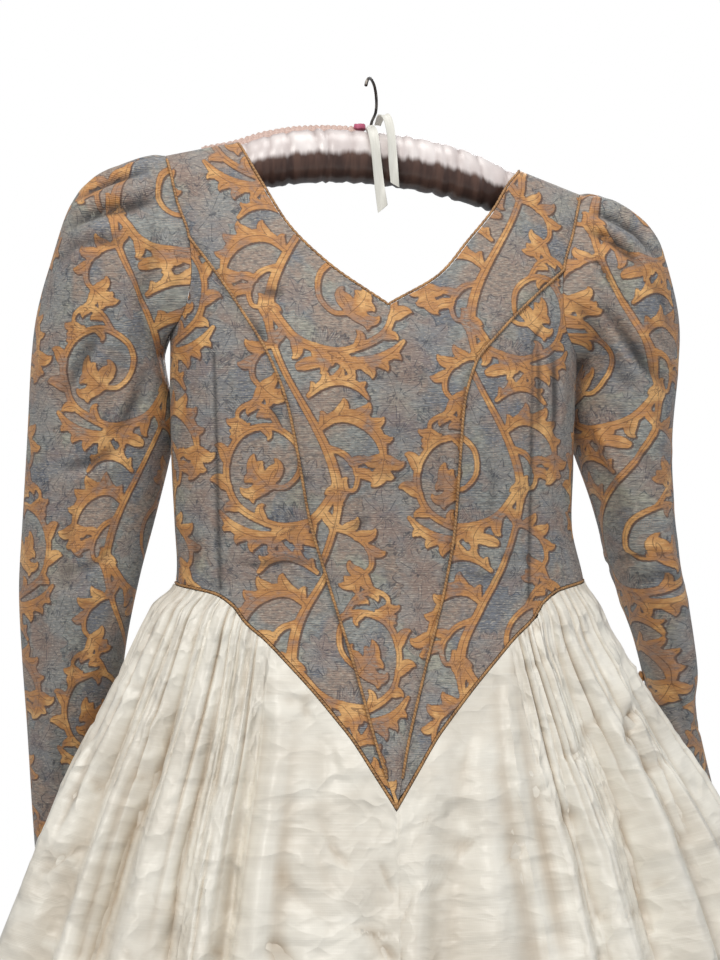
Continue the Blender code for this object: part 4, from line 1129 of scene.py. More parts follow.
def frontHalf(side):
    s = bodiceSettings
    f = formSettings
    name = sideName(side)
    top = float(at(neckTable, name, f["shoulderDrop"]))
    tip = float(at(armholeTable, name, f["shoulderTip"]))
    high = shoulderDrop(np.array([top, tip]))
    strapRows = frontNeckRow() + 1
    share = np.linspace(0, 1, strapRows)
    neckDrop = lerp(high[0], f["neckPoint"], share**1.35)
    neckX = at(neckTable, name, np.maximum(neckDrop, f["shoulderDrop"]))
    neckX[0] = top
    # the armhole side reaches the princess seam's top at the sixth of the strap's eight rows
    armKeys = [lerp(high[1], f["princessTop"], k) for k in strapArmRows] + list(princessRows[1:3])
    neckKeys = [lerp(high[0], f["neckPoint"], k) for k in strapNeckRows]
    armDrop = np.interp(neckDrop, neckKeys, armKeys)
    armX = np.where(
        armDrop <= f["princessTop"], at(armholeTable, name, armDrop), at(princessTable, name, armDrop)
    )
    lower = np.linspace(f["neckPoint"], f["princessEnd"], s["frontRows"] - strapRows + 1)[1:]
    innerX = np.concatenate([neckX, np.full(len(lower), frontMiddle)])
    middle = lerp(f["neckPoint"], f["frontTip"], np.linspace(0, 1, len(lower) + 1)[1:])
    innerDrop = np.concatenate([neckDrop, middle])
    outerX = np.concatenate([armX, at(princessTable, name, lower)]) - side * seamGap / 2
    outerDrop = np.concatenate([armDrop, lower])
    across = np.linspace(0, 1, s["frontColumns"])
    x = lerp(innerX[:, None], outerX[:, None], across)
    drop = lerp(innerDrop[:, None], outerDrop[:, None], across)
    angle = formAngle(x, drop)
    points, normal = form(angle, drop), formNormal(angle, drop)
    edge = np.abs(x - outerX[:, None]) * 0.8
    rise = bodiceRelief(points, s["frontCreases"], (), (np.where(drop > f["princessTop"], edge, 1.0),))
    points = points + normal * rise[..., None]
    # the depth of each fold sets the painted shade in it
    flat = np.concatenate([clothFlat(angle, drop), hollows(rise, 0.0012)], -1)
    if side > 0:
        return points[:, ::-1], normal[:, ::-1], flat[:, ::-1]
    return points, normal, flat


def centreFront():
    join = frontNeckRow()
    return [(*frontHalf(1), ("last", join)), (*frontHalf(-1), ("first", join))]


def sideFront(side):
    s = bodiceSettings
    f = formSettings
    name = sideName(side)
    t = np.linspace(0, 1, s["sideRows"])[:, None]
    k = np.linspace(0, 1, s["sideColumns"])[None, :]
    sideAngle = 0.0 if side > 0 else math.pi
    drops = np.interp(t[:, 0], np.linspace(0, 1, len(princessRows)), princessRows)
    innerAngle = formAngle(at(princessTable, name, drops), drops)
    outerDrop = lerp(f["underarm"], f["sideWaist"], t[:, 0])
    turn = np.radians(lerp(89, 180, k[0]))
    topDrop = armholeDrop(turn)
    topDrop[0] = f["princessTop"]
    topAngle = formAngle(at(armholeTable, name, topDrop), topDrop)
    topAngle[-1] = sideAngle
    stations = np.interp(k[0], np.linspace(0, 1, len(waistStations)), waistStations)
    bottomDrop = at(waistTable, "drop", stations)
    reach = side * at(formTable, sideName(side), f["sideWaist"])
    edge = at(formTable, "middle", f["sideWaist"]) + reach
    bottomAngle = formAngle(lerp(frontMiddle, edge, stations), bottomDrop)
    bottomDrop[-1], bottomAngle[-1] = f["sideWaist"], sideAngle
    bottomDrop[0] = f["princessEnd"]
    bottomAngle[0] = innerAngle[-1]
    bottomDrop[1:4], bottomAngle[1:4] = (
        np.interp((1, 2, 3), (0, 4), keys[[0, 4]]) for keys in (bottomDrop, bottomAngle)
    )

    def spanned(inner, outer, upper, lower):
        edges = lerp(inner[:, None], outer, k) + lerp(upper[None, :], lower[None, :], t)
        return edges - lerp(lerp(upper[0], upper[-1], k), lerp(lower[0], lower[-1], k), t)

    angle = spanned(innerAngle, np.full((len(drops), 1), sideAngle), topAngle, bottomAngle)
    drop = spanned(drops, outerDrop[:, None], topDrop, bottomDrop)
    points, normal = form(angle, drop), formNormal(angle, drop)
    seam = np.linalg.norm(points - points[:, :1], axis=2)
    rim = np.linalg.norm(points - points[:, -1:], axis=2)
    rise = bodiceRelief(points, s["frontCreases"], (s["darts"][side],), (seam, rim))
    points = points + normal * rise[..., None]
    # the depth of each fold sets the painted shade in it
    flat = np.concatenate([clothFlat(angle, drop) + (0.011 * side, 0.004), hollows(rise, 0.0012)], -1)
    points[:, 0, 0] += side * seamGap / 2
    points[:, -1, 1] -= seamGap / 2
    if side > 0:
        points, normal, flat = points[:, ::-1], normal[:, ::-1], flat[:, ::-1]
    return points, normal, flat


def backHalf(side):
    s = bodiceSettings
    f = formSettings
    name = sideName(side)
    strapRows = int(s["backRows"] * 0.45)
    top = float(at(backNeckTable, name, f["shoulderDrop"]))
    tip = float(at(armholeTable, name, f["shoulderTip"]))
    high = shoulderDrop(np.array([top, tip]))
    share = np.linspace(0, 1, strapRows) ** 1.3
    neckDrop = lerp(high[0], f["backStrap"], share)
    neckX = at(backNeckTable, name, np.maximum(neckDrop, f["shoulderDrop"]))
    neckX[0] = top
    armShare = np.interp(share, backNeckRows, backArmRows)
    armDrop = lerp(high[1], f["underarm"], armShare)
    across = np.linspace(0, 1, s["backColumns"])
    x = lerp(neckX[:, None], at(armholeTable, name, armDrop)[:, None], across)
    drop = lerp(neckDrop[:, None], armDrop[:, None], across)
    angle = formAngle(x, drop, True)
    sideAngle = 0.0 if side > 0 else -math.pi
    steps = len(princessRows) - 1
    j = np.linspace(0, steps, s["backRows"] - strapRows + 1)[1:]
    outer = lerp(f["underarm"], f["sideWaist"], j / steps)
    inner = np.where(
        j < 3,
        lerp(f["backStrap"], f["backNeck"], j / 3),
        lerp(f["backNeck"], f["backWaist"], (j - 3) / (steps - 3)),
    )
    innerX = np.where(j < 3, at(backNeckTable, name, inner), frontMiddle)
    start = formAngle(innerX, inner, True)
    lowAngle = lerp(start[:, None], sideAngle, across)
    lowDrop = lerp(inner[:, None], outer[:, None], across)
    # the strap's last row gives way to rows that run to the side seam
    angle, drop = np.concatenate([angle, lowAngle]), np.concatenate([drop, lowDrop])
    points, normal = form(angle, drop), formNormal(angle, drop)
    rim = np.linalg.norm(points - points[:, -1:], axis=2)
    middle = np.where(drop > f["backNeck"], np.linalg.norm(points - points[:, :1], axis=2), 1.0)
    rise = bodiceRelief(points, s["backCreases"], (), (np.where(drop > f["underarm"], rim, 1.0), middle))
    points = points + normal * rise[..., None]
    points[strapRows:, -1, 1] += seamGap / 2
    lowRows = np.concatenate([np.zeros(strapRows, bool), j >= 3])
    points[lowRows, 0, 0] += side * seamGap / 2
    flat = clothFlat(angle + (0 if side > 0 else math.tau), drop) + (0.02, 0.06)
    if side < 0:
        points, normal, flat = points[:, ::-1], normal[:, ::-1], flat[:, ::-1]
    return points, normal, flat


def makeBodice():
    s = bodiceSettings
    made = clothPiece("bodiceCentreFront", centreFront(), s["thickness"], brocade)
    dressed(made, ["bodice_centre_front"])
    for side in (-1, 1):
        name = sideName(side)
        made = clothPiece("bodiceSideFront." + name, [sideFront(side)], s["thickness"], brocade)
        dressed(made, ["bodice_side_front_" + name])
        made = clothPiece("bodiceBack." + name, [backHalf(side)], s["thickness"], brocade)
        dressed(made, ["bodice_back_" + name])


print("bodice")
makeBodice()


# sleeves
sleeveSettings = {
    "cut": (0.42, 0.70),
    "fullness": 1.06,
    "headPleats": 0.0026,
    "limits": (0.0085, 0.0006),  # how high folds may be outside, and beside the bodice
    "thickness": 0.0015,
    "gap": 0.0004,
    "columns": 202,
    "rows": 331,
    "slit": 0.004,
    "depth": 1.8,
    "left": (
        (-0.209, 0.000, -0.079, -0.184, 0.000, -0.247, 0.047),
        (-0.243, 0.000, -0.096, -0.185, 0.006, -0.253, 0.056),
        (-0.266, 0.000, -0.121, -0.183, 0.014, -0.261, 0.060),
        (-0.283, 0.000, -0.170, -0.180, 0.022, -0.275, 0.061),
        (-0.295, 0.003, -0.215, -0.177, 0.030, -0.293, 0.059),
        (-0.300, 0.005, -0.262, -0.176, 0.034, -0.318, 0.056),
        (-0.304, 0.012, -0.322, -0.182, 0.032, -0.350, 0.051),
        (-0.309, 0.024, -0.392, -0.193, 0.028, -0.396, 0.045),
        (-0.313, 0.038, -0.455, -0.207, 0.026, -0.450, 0.041),
        (-0.312, 0.052, -0.520, -0.219, 0.047, -0.512, 0.037),
        (-0.309, 0.069, -0.590, -0.227, 0.081, -0.585, 0.032),
        (-0.306, 0.084, -0.655, -0.233, 0.113, -0.655, 0.028),
        (-0.303, 0.112, -0.735, -0.240, 0.146, -0.745, 0.024),
    ),
    "right": (
        (0.216, 0.000, -0.101, 0.192, 0.000, -0.251, 0.047),
        (0.243, 0.000, -0.117, 0.194, 0.006, -0.257, 0.055),
        (0.264, 0.000, -0.138, 0.193, 0.013, -0.264, 0.059),
        (0.280, 0.000, -0.178, 0.192, 0.020, -0.277, 0.061),
        (0.289, 0.002, -0.217, 0.190, 0.026, -0.294, 0.061),
        (0.289, 0.004, -0.262, 0.190, 0.030, -0.318, 0.061),
        (0.285, 0.010, -0.318, 0.198, 0.026, -0.342, 0.061),
        (0.288, 0.020, -0.372, 0.215, 0.026, -0.386, 0.058),
        (0.302, 0.035, -0.448, 0.239, 0.035, -0.455, 0.055),
        (0.321, 0.052, -0.517, 0.267, 0.056, -0.520, 0.050),
        (0.331, 0.068, -0.577, 0.289, 0.082, -0.587, 0.044),
        (0.347, 0.082, -0.637, 0.302, 0.110, -0.652, 0.038),
        (0.369, 0.096, -0.705, 0.324, 0.134, -0.728, 0.031),
    ),
    "creases": {
        -1: (
            # the two tuck bands over the cap
            ((-255, 118, -236, 106, -214, 97, -193, 90), 4, -3.0), ((-262, 111, -240, 98, -214, 88), 5, 1.8),
            ((-267, 149, -261, 141, -239, 131, -212, 126, -191, 118), 5, -3.4),
            ((-262, 132, -240, 120, -212, 112, -190, 106), 6, 2.4),
            ((-250, 152, -226, 146, -204, 143), 5, 1.6),
            ((-278, 176, -262, 160, -246, 156, -222, 160), 6, -2.2),
            # the puff's own edge, which rolls over the armhole
            ((-170, 128, -172, 148, -174, 170, -184, 196, -192, 222), 7, 2.6),
            ((-190, 138, -192, 160, -196, 186, -204, 210), 7, -2.2),
            ((-215, 176, -212, 200, -214, 226, -222, 250), 8, 1.6),
            ((-239, 226, -249, 248, -261, 271, -273, 292), 9, -3.0),
            ((-228, 240, -243, 262, -262, 284), 6, 2.2),
            ((-200, 262, -206, 290, -222, 318), 6, -2.4), ((-214, 268, -222, 296, -240, 322), 6, 1.8),
            ((-285, 214, -288, 250, -284, 290), 8, 1.6), ((-220, 330, -244, 344, -272, 350), 6, -2.0),
            ((-216, 340, -244, 356, -276, 364), 6, 1.6), ((-262, 380, -270, 420, -272, 460), 8, -2.0),
            ((-238, 372, -240, 410, -246, 446), 6, 1.7), ((-228, 420, -248, 436, -272, 440), 5, -1.7),
            ((-236, 452, -258, 462, -284, 460), 5, 1.5), ((-290, 420, -294, 470, -290, 520), 7, -1.6),
            ((-250, 490, -262, 520, -264, 560), 6, -1.5), ((-240, 520, -256, 536, -276, 540), 4, 1.2),
            ((-285, 560, -288, 600, -284, 640), 5, 1.2), ((-248, 600, -258, 636, -262, 680), 5, -1.3),
            ((-252, 660, -270, 668, -290, 664), 4, -1.0),
        ),
        1: (
            ((181, 114, 206, 120, 235, 137, 255, 161), 4, -3.0),
            ((190, 104, 216, 112, 244, 130, 262, 152), 5, 1.8),
            ((186, 130, 206, 134, 230, 150, 246, 176), 5, 2.2),
            ((174, 132, 193, 136, 212, 144, 232, 166), 4, -2.8),
            ((189, 155, 198, 167, 213, 194), 3, -1.8), ((200, 150, 216, 168, 230, 196), 6, 1.8),
            ((170, 176, 178, 186, 187, 202, 205, 221, 222, 248, 237, 276, 244, 297), 5, 2.6),
            ((166, 190, 176, 202, 190, 222, 206, 246, 220, 276), 6, -2.8),
            ((207, 212, 221, 236, 241, 257, 270, 276), 6, -3.0),
            ((215, 206, 234, 230, 256, 248, 280, 262), 6, 2.2),
            ((246, 180, 262, 204, 272, 236), 7, -1.8), ((196, 299, 211, 334, 226, 364, 236, 387), 4, 2.4),
            ((190, 306, 202, 340, 216, 372, 228, 400), 5, -2.6),
            ((214, 290, 230, 322, 250, 350, 272, 366), 7, -1.8), ((240, 300, 256, 322, 276, 334), 6, 1.7),
            ((227, 437, 238, 431, 252, 428, 270, 430), 3, -2.0), ((225, 426, 240, 421, 262, 420), 4, 1.6),
            ((242, 452, 262, 446, 288, 450), 5, -1.8), ((250, 470, 270, 466, 298, 474), 5, 1.5),
            ((280, 380, 286, 420, 300, 460), 7, -1.8), ((262, 392, 270, 424, 284, 452), 6, 1.5),
            ((270, 490, 288, 520, 310, 548), 6, -1.6), ((300, 500, 312, 536, 330, 570), 6, 1.4),
            ((286, 548, 302, 580, 318, 616), 5, -1.4), ((310, 590, 330, 598, 348, 594), 4, -1.1),
            ((308, 630, 326, 650, 344, 676), 5, 1.2),
        ),
    },
}


def sleeveGrid(side):
    s = sleeveSettings
    name = sideName(side)
    turn = np.linspace(math.pi, 3 * math.pi, s["columns"])
    turn[0], turn[-1] = turn[0] + s["slit"], turn[-1] - s["slit"]
    drop = armholeDrop(turn)
    x = at(armholeTable, name, drop)
    ring = np.where(
        (np.sin(turn) > 0)[:, None], form(formAngle(x, drop), drop), form(formAngle(x, drop, True), drop)
    )
    rings = [ring + (side * s["gap"], 0, 0)]
    rows = np.array(s[name])
    outside, inside = rows[:, 0:3], rows[:, 3:6]
    centres = (outside + inside) / 2
    for i in range(len(rows)):
        reach = (outside[i] - inside[i]) / 2
        along = centres[min(i + 1, len(rows) - 1)] - centres[max(i - 1, 0)]
        front = unit(np.cross(along, reach))
        front = -front if front[1] > 0 else front
        rings.append(centres[i] + np.outer(np.cos(turn), reach) + np.outer(np.sin(turn), front) * rows[i, 6])
    rings = np.array(rings)
    place = np.linspace(0, len(rings) - 1, s["rows"])
    # rows closer where the cap bends
    place = place - 0.55 * np.sin(place / (len(rings) - 1) * math.pi) * (1 - place / (len(rings) - 1))
    i = np.minimum(place.astype(int), len(rings) - 2)
    t = (place - i)[:, None, None]
    a, b = rings[np.maximum(i - 1, 0)], rings[i]
    c, d = rings[i + 1], rings[np.minimum(i + 2, len(rings) - 1)]
    return splined(a, b, c, d, t), turn, place


def sleeveFlat(points, side):  # the cloth's repeat runs level round the sleeve, from its front middle
    x, y, z = (points[..., i] for i in range(3))
    levels = np.linspace(z.min(), z.max(), 60)
    near = [np.abs(z - level) < 0.012 for level in levels]
    low, high = (np.array([pick(x[n]) for n in near]) for pick in (np.min, np.max))
    back, front = (np.array([pick(y[n]) for n in near]) for pick in (np.max, np.min))
    middle, half = np.interp(z, levels, (low + high) / 2), np.interp(z, levels, (high - low) / 2)
    turned = np.arctan2(x - middle, np.interp(z, levels, (back + front) / 2) - y)
    turned = np.where(side * turned < -math.pi / 2, turned + side * math.tau, turned)
    return np.stack([middle + half * turned + 0.05 * side, 0.09 - z], -1)


def sleevePiece(side):
    s = sleeveSettings
    points, turn, place = sleeveGrid(side)
    flat = sleeveFlat(points, side)
    if side < 0:
        points, flat, turn = points[:, ::-1], flat[:, ::-1], turn[::-1]
    normal = gridNormals(points)
    x, z = points[..., 0], points[..., 2]
    front = smooth((np.sin(turn) + 0.25) / 0.6)[None, :]
    start = smooth((place - 0.15) / 0.6)[:, None]
    creases = s["creases"][side]
    rise = creaseHeight(x, z, creases) * front
    turned = [(np.reshape(path, (-1, 2)) + (0, 11), w * 1.1, h * 0.9, *kind) for path, w, h, *kind in creases]
    rise = rise + creaseHeight(x, z, turned) * (1 - front)
    # the small pleats that ease the head of the sleeve into the armhole
    over = np.cos(turn / 2)[None, :] ** 2
    near = smooth(place / 0.5)[:, None] * (1 - smooth((place - 1.2) / 2.6))[:, None]
    pleat = np.abs(np.cos(3.6 * turn + 0.5 * np.sin(3 * turn)))[None, :] ** 0.7 * 2 - 1
    rise = s["depth"] * rise * start + s["headPleats"] * pleat * over * near
    # the cloth can't sink into the bodice beside it
    inner = np.clip(-np.cos(turn), 0, 1)[None, :] ** 0.5
    limit = lerp(*s["limits"], inner)
    rise = limit * np.tanh(rise / limit)
    points = points + normal * rise[..., None]
    # the depth of each fold sets the painted shade in it
    flat = np.concatenate([flat, hollows(rise, 0.0035, 6)], -1)
    name = sideName(side)
    made = clothPiece("sleeve." + name, [(points, gridNormals(points), flat)], s["thickness"], brocade)
    dressed(made, ["sleeve_" + name])


print("sleeves")
for side in (-1, 1):
    sleevePiece(side)


# skirt
skirtSettings = {
    # seed, count and reach of the small creases: in front, behind, and near the hem all round
    "crumples": (
        (5, 360, (-330, 340, 480, 1000)), (6, 330, (-330, 340, 480, 1000)), (7, 260, (-500, 520, 950, 1460)),
    ),
    "columnCloth": 0.0075,  # cloth between two columns
    "fullness": 1.1,
    "thickness": 0.0014,
    "gathers": 36,
    "smoothColumns": 9,
    "smoothLength": 0.171,
    "frontPanel": 17,
    "sidePanel": 51,
    "gatherDepth": 0.0032,
    "gatherLength": 0.07,
    "gatherFade": 0.22,
    "puff": 0.005,
    "puffLength": 0.02,
    "foldColumns": 6.3,
    "phase": {-1: 2.3, 1: 0.95},
    "depth": (0.009, 0.015),
    "start": (0.0, 0.1),
    "length": (0.2, 0.9),
    "sway": 0.12,
    "closeColumns": 46,
    "panels": {
        "skirtFront": (0.62, 1.04),
        "skirtSide.left": (0.80, 1.06),
        "skirtSide.right": (0.80, 1.06),
        "skirtBack.left": (0.60, 1.06),
        "skirtBack.right": (0.60, 1.06),
    },
    "creases": (
        ((-174, 448, -180, 479, -187, 512, -208, 571, -226, 626, -237, 657, -270, 800), 16, -9, "pleat"),
        ((-152, 479, -160, 512, -181, 568, -199, 618, -219, 658, -262, 800), 15, -10, "pleat"),
        ((-133, 480, -139, 516, -155, 598, -175, 675, -192, 800), 13, -9, "pleat"),
        ((-120, 469, -123, 491, -132, 533, -142, 591, -151, 644, -176, 800), 12, -9, "pleat"),
        ((-108, 492, -108, 539, -111, 575, -119, 633, -128, 684, -146, 800), 14, -10),
        ((-96, 504, -92, 570, -101, 636, -110, 684, -118, 800), 10, 6),
        ((-76, 560, -74, 630, -82, 800), 13, 4),
        ((-58, 540, -54, 620, -58, 800), 14, -4), ((-95, 544, -67, 539, -35, 553), 6, -1.8),
        ((-83, 531, -61, 549, -48, 571), 6, 1.8),
        ((-214, 470, -226, 520, -250, 580, -276, 660), 16, -7, "pleat"),
        ((101, 500, 102, 551, 104, 600, 112, 680, 132, 800), 14, 9, "pleat"),
        ((116, 510, 120, 570, 128, 640, 140, 760), 12, -6),
        ((128, 500, 140, 560, 152, 620, 166, 690, 190, 800), 12, -5, "pleat"),
        ((150, 490, 168, 545, 190, 600, 206, 650, 232, 800), 15, -10, "pleat"),
        ((184, 520, 204, 580, 226, 640, 250, 760), 14, 6), ((230, 560, 252, 610, 274, 680), 14, -7, "pleat"),
        ((62, 560, 56, 630, 50, 700, 40, 820), 15, -7), ((34, 600, 26, 660, 14, 740, 4, 860), 12, 6),
        ((-6, 660, -16, 730, -28, 840), 12, -4), ((80, 560, 78, 640, 84, 720, 88, 840), 12, 4),
        ((120, 470, 124, 486, 132, 512), 5, -4), ((132, 466, 138, 486, 150, 520), 5, -4),
        ((110, 480, 112, 500, 110, 530), 5, -3),
    ),
}


def waistStationsDense(side, count=240):
    f = formSettings
    across = np.linspace(0, 1, count)
    drop = at(waistTable, "drop", across)
    edge = at(formTable, "middle", f["sideWaist"]) + side * at(formTable, sideName(side), f["sideWaist"])
    angle = formAngle(lerp(frontMiddle, edge, across), drop)
    angle[-1] = 0.0 if side > 0 else math.pi
    drop[-1] = f["sideWaist"]
    share = np.linspace(1, 0, count)[1:]
    backDrop = lerp(f["backWaist"], f["sideWaist"], share)
    start = formAngle(np.full(share.shape, frontMiddle), backDrop, True)
    backAngle = lerp(start, 0.0 if side > 0 else -math.pi, share)
    if side < 0:
        backAngle = backAngle + math.tau
    return np.concatenate([angle, backAngle]), np.concatenate([drop, backDrop])


def movedWaist(side, distance, depth):
    angle, drop = waistStationsDense(side)
    points, normals = form(angle, drop), formNormal(angle, drop)
    along = unit(np.gradient(points, axis=0))
    way = unit(np.cross(normals, along)) * -side
    way = way * np.where(way[:, 2:3] > 0, -1, 1)
    line = points + way * distance
    line[0] = points[0] + np.array([0, 0, -1]) * distance / max(-way[1][2], 0.4)
    line[0, 0] = line[-1, 0] = frontMiddle
    line[-1] = points[-1] + (0, 0, -distance)
    keep = np.ones(len(line), bool)
    keep[1:] = side * (line[1:, 0] - line[0, 0]) > 0.0004
    keep[-1] = True
    line, normals, angle, drop = line[keep], normals[keep], angle[keep], drop[keep]
    return line - normals * depth, normals, angle, drop


def gatherHeight(column, below, side):
    s = skirtSettings
    gathered = column - s["smoothColumns"]
    cloth = np.where(gathered > 0, gathered, gathered * 1.5)
    busy = smooth((gathered + 1) / 5)
    uneven = gathered + 0.32 * np.sin(1.9 * gathered + side) + 0.2 * np.sin(3.3 * gathered)
    fine = (2 * np.abs(np.cos(math.pi / 2 * uneven)) ** 0.7 - 1) * (1 + 0.35 * np.sin(2.3 * gathered + 1))
    fine = fine * s["gatherDepth"] * busy * lerp(0.45, 1.0, smooth(below / 0.03))
    fade = s["gatherLength"] * (1 + 0.6 * np.sin(2.7 * gathered + 2 * side))
    fine = fine * (1 - smooth((below - fade) / s["gatherFade"]))
    phase = s["phase"][side]
    wave = np.sin(math.tau * cloth / s["foldColumns"] + phase + 0.9 * np.sin(0.37 * cloth))
    wave = wave + 0.35 * np.sin(math.tau * cloth / (s["foldColumns"] * 2.7) + 2 * phase)
    depth = 0.0
    for most, start, length in zip(s["depth"], s["start"], s["length"]):
        depth = depth + most * smooth((below - start) / length)
    coarse = wave * depth * lerp(0.55, 1.0, busy) * smooth(column / 3)
    return fine + coarse + s["puff"] * busy * (1 - np.exp(-below / s["puffLength"]))


def skirtPlaces():  # columns from the front middle to the centre back, closer in front
    s = skirtSettings
    last = s["smoothColumns"] + 2 * s["gathers"]
    near = np.linspace(0, s["closeColumns"], s["closeColumns"] * 6 + 1)
    return np.concatenate([near, np.linspace(s["closeColumns"], last, (last - s["closeColumns"]) * 3 + 1)[1:]])


def skirtRows():
    # closer rows where the photograph's skirt shows, wider ones down to the hem
    upper = np.linspace(0, 0.30, 82) ** 1.15
    upper = upper / upper[-1] * 0.40
    return np.concatenate([upper, np.linspace(0.40, 1.0, 82)[1:]])


def skirtHalf(side):
    s = skirtSettings
    f = formSettings
    line, normals, angles, drops = movedWaist(side, 2 * (cordRadius + seamGap), 0.0)
    gone = lengthAlong(line)
    last = s["smoothColumns"] + 2 * s["gathers"]
    column = skirtPlaces()
    share = (column - s["smoothColumns"]) / (last - s["smoothColumns"])
    distance = np.where(
        column <= s["smoothColumns"],
        s["smoothLength"] * column / s["smoothColumns"],
        lerp(s["smoothLength"], gone[-1], share),
    )
    start = placedAt(distance, gone, line)
    startNormal = unit(placedAt(distance, gone, normals))
    angle, drop = np.interp(distance, gone, angles), np.interp(distance, gone, drops)
    hemAngle = angle + s["sway"] * np.sin(2 * angle)
    offset = start - form(angle, drop)
    rows = skirtRows()[:, None]
    lower = drop + (f["hem"] - drop) * rows
    a = lerp(angle, hemAngle, smooth(rows * 1.2))
    normal = formNormal(a, lower)
    normal = unit(lerp(startNormal, normal, smooth(rows / 0.02)[..., None]))
    stand = gatherHeight(column, (f["hem"] - drop) * rows, side)
    points = form(a, lower) + normal * stand[..., None] + offset * (1 - smooth(rows / 0.1))[..., None]
    flat = np.stack([side * column * s["columnCloth"] + 0 * lower, lower, stand], -1)
    return points, flat, normal


def crumples(points, seed, count, reach):
    # small soft creases that silk keeps from being folded
    generator = np.random.default_rng(seed)
    rows = []
    for _ in range(count):
        x = generator.uniform(reach[0], reach[1])
        drop = generator.uniform(reach[2], reach[3])
        turn = generator.normal(0.55 if x < 0 else -0.55, 0.5)
        length = generator.uniform(14, 58)
        bend = generator.uniform(-6, 6)
        dx, dd = length * math.cos(turn), length * math.sin(turn)
        path = ((x - dx / 2, drop - dd / 2), (x, drop + bend), (x + dx / 2, drop + dd / 2))
        kind = ("pleat",) if generator.uniform() < 0.6 else ()
        rows.append((path, generator.uniform(3.0, 8.0), generator.normal(0.0, 2.2), *kind))
    return creaseHeight(points[..., 0], points[..., 2], rows)


def makeSkirt():
    s = skirtSettings
    halves = {side: skirtHalf(side) for side in (-1, 1)}
    # one ring of columns from the centre back, past the right side, the front and the left side
    joined = [np.concatenate([halves[1][i][:, ::-1], halves[-1][i][:, 1:]], 1) for i in (0, 1, 2)]
    points, flat, normal = joined
    x, z = points[..., 0], points[..., 2]
    front = smooth((0.012 - points[..., 1]) / 0.03)
    begin = smooth((skirtRows()[:, None] - 0.006) / 0.03)
    rise = creaseHeight(x, z, s["creases"]) * front
    behind = [(np.reshape(path, (-1, 2)) * (-1, 1) + (8, 14), *facts) for path, *facts in s["creases"]]
    rise = rise + creaseHeight(x, z, behind) * (1 - front)
    for (seed, count, reach), share in zip(s["crumples"], (front, 1 - front, 1.0)):
        rise = rise + crumples(points, seed, count, reach) * share
    points = points + normal * (rise * begin)[..., None]
    normal = gridNormals(points)
    # the depth of each valley sets the painted shade in it
    flat[..., 2:] = hollows(flat[..., 2] + rise, 0.0045, 5)
    places = skirtPlaces()
    middle = len(places) - 1
    inner, outer = (int(np.argmin(np.abs(places - s[key]))) for key in ("frontPanel", "sidePanel"))
    spans = (
        ("skirtBack.right", "skirt_back_right", 0, middle - outer),
        ("skirtSide.right", "skirt_side_right", middle - outer, middle - inner),
        ("skirtFront", "skirt_front", middle - inner, middle + inner),
        ("skirtSide.left", "skirt_side_left", middle + inner, middle + outer),
        ("skirtBack.left", "skirt_back_left", middle + outer, 2 * middle),
    )
    for name, node, first, last in spans:
        extra = (-(last - first)) % 3
        part = [a[:, first : last + 1].copy() for a in (points, normal, flat)]
        if extra:  # the inner face takes every third column
            keys = np.linspace(0, last - first, last - first + extra + 1)
            here = np.arange(last - first + 1)
            part = [
                np.array([[np.interp(keys, here, values) for values in row.T] for row in a]).swapaxes(1, 2)
                for a in part
            ]
        grid = part[0]
        for edge, inside in ((0, 1), (-1, -2)):
            grid[:, edge] += unit(grid[:, inside] - grid[:, edge]) * seamGap * 0.8
        made = clothPiece(name, [(grid, unit(part[1]), part[2])], s["thickness"], silk)
        dressed(made, [node])


print("skirt")
makeSkirt()


# cords, buttons, hanger and ribbon
def ringFaces(rings, sides, closedEnds=True):
    faces = []
    for r in range(rings - 1):
        for k in range(sides):
            m = (k + 1) % sides
            faces.append((r * sides + k, r * sides + m, (r + 1) * sides + m, (r + 1) * sides + k))
    if closedEnds:
        faces.append(tuple(range(sides))[::-1])
        faces.append(tuple((rings - 1) * sides + k for k in range(sides)))
    return faces


def resampled(points, step):
    points = np.asarray(points, float)
    gone = lengthAlong(points)
    count = max(int(gone[-1] / step), 2)
    where = np.linspace(0, gone[-1], count + 1)
    return placedAt(where, gone, points), where


cordSettings = {"step": 0.0011, "sides": 10, "twist": 0.0062, "strand": 0.10}


def cordTube(name, line, normals, nodes, radius=cordRadius):
    # a round cord of three strands laid together
    s = cordSettings
    points, gone = resampled(line, s["step"])
    source = lengthAlong(line)
    up = unit(placedAt(gone, source, normals))
    along = unit(np.gradient(points, axis=0))
    beside = unit(np.cross(up, along))
    above = np.cross(along, beside)
    turn = np.linspace(0, math.tau, s["sides"], endpoint=False)
    lay = 3 * (turn[None, :] + math.tau * gone[:, None] / (3 * s["twist"]))
    far = radius * (1 - s["strand"] + s["strand"] * 1.4 * np.cos(lay))
    ring = np.cos(turn)[None, :, None] * beside[:, None] + np.sin(turn)[None, :, None] * above[:, None]
    grid = points[:, None] + ring * far[..., None]
    spread = np.stack([turn[None, :] / math.tau * 0.0082 + 0 * gone[:, None], gone[:, None] + 0 * far], -1)
    made = addMesh(name, grid.reshape(-1, 3), ringFaces(*grid.shape[:2]), cordFinish, spread.reshape(-1, 2))
    return dressed(made, nodes)


def neckPath(isBack):
    f = formSettings
    table = backNeckTable if isBack else neckTable
    low = f["backNeck"] if isBack else f["neckPoint"]
    halves = []
    for side in (-1, 1):
        name = sideName(side)
        top = float(at(table, name, f["shoulderDrop"]))
        high = float(shoulderDrop(np.array(top)))
        drop = lerp(high, low, np.linspace(0, 1, 90) ** 1.4)
        x = at(table, name, np.maximum(drop, f["shoulderDrop"]))
        x[0] = top
        halves.append((x, drop))
    x = np.concatenate([halves[0][0], halves[1][0][::-1][1:]])
    drop = np.concatenate([halves[0][1], halves[1][1][::-1][1:]])
    return formAngle(x, drop, isBack), drop


cordSunk = 0.0005  # how far a cord lies into its seam
cordEnds = 0.0008  # how far the ends of a front cord and a back one stand apart


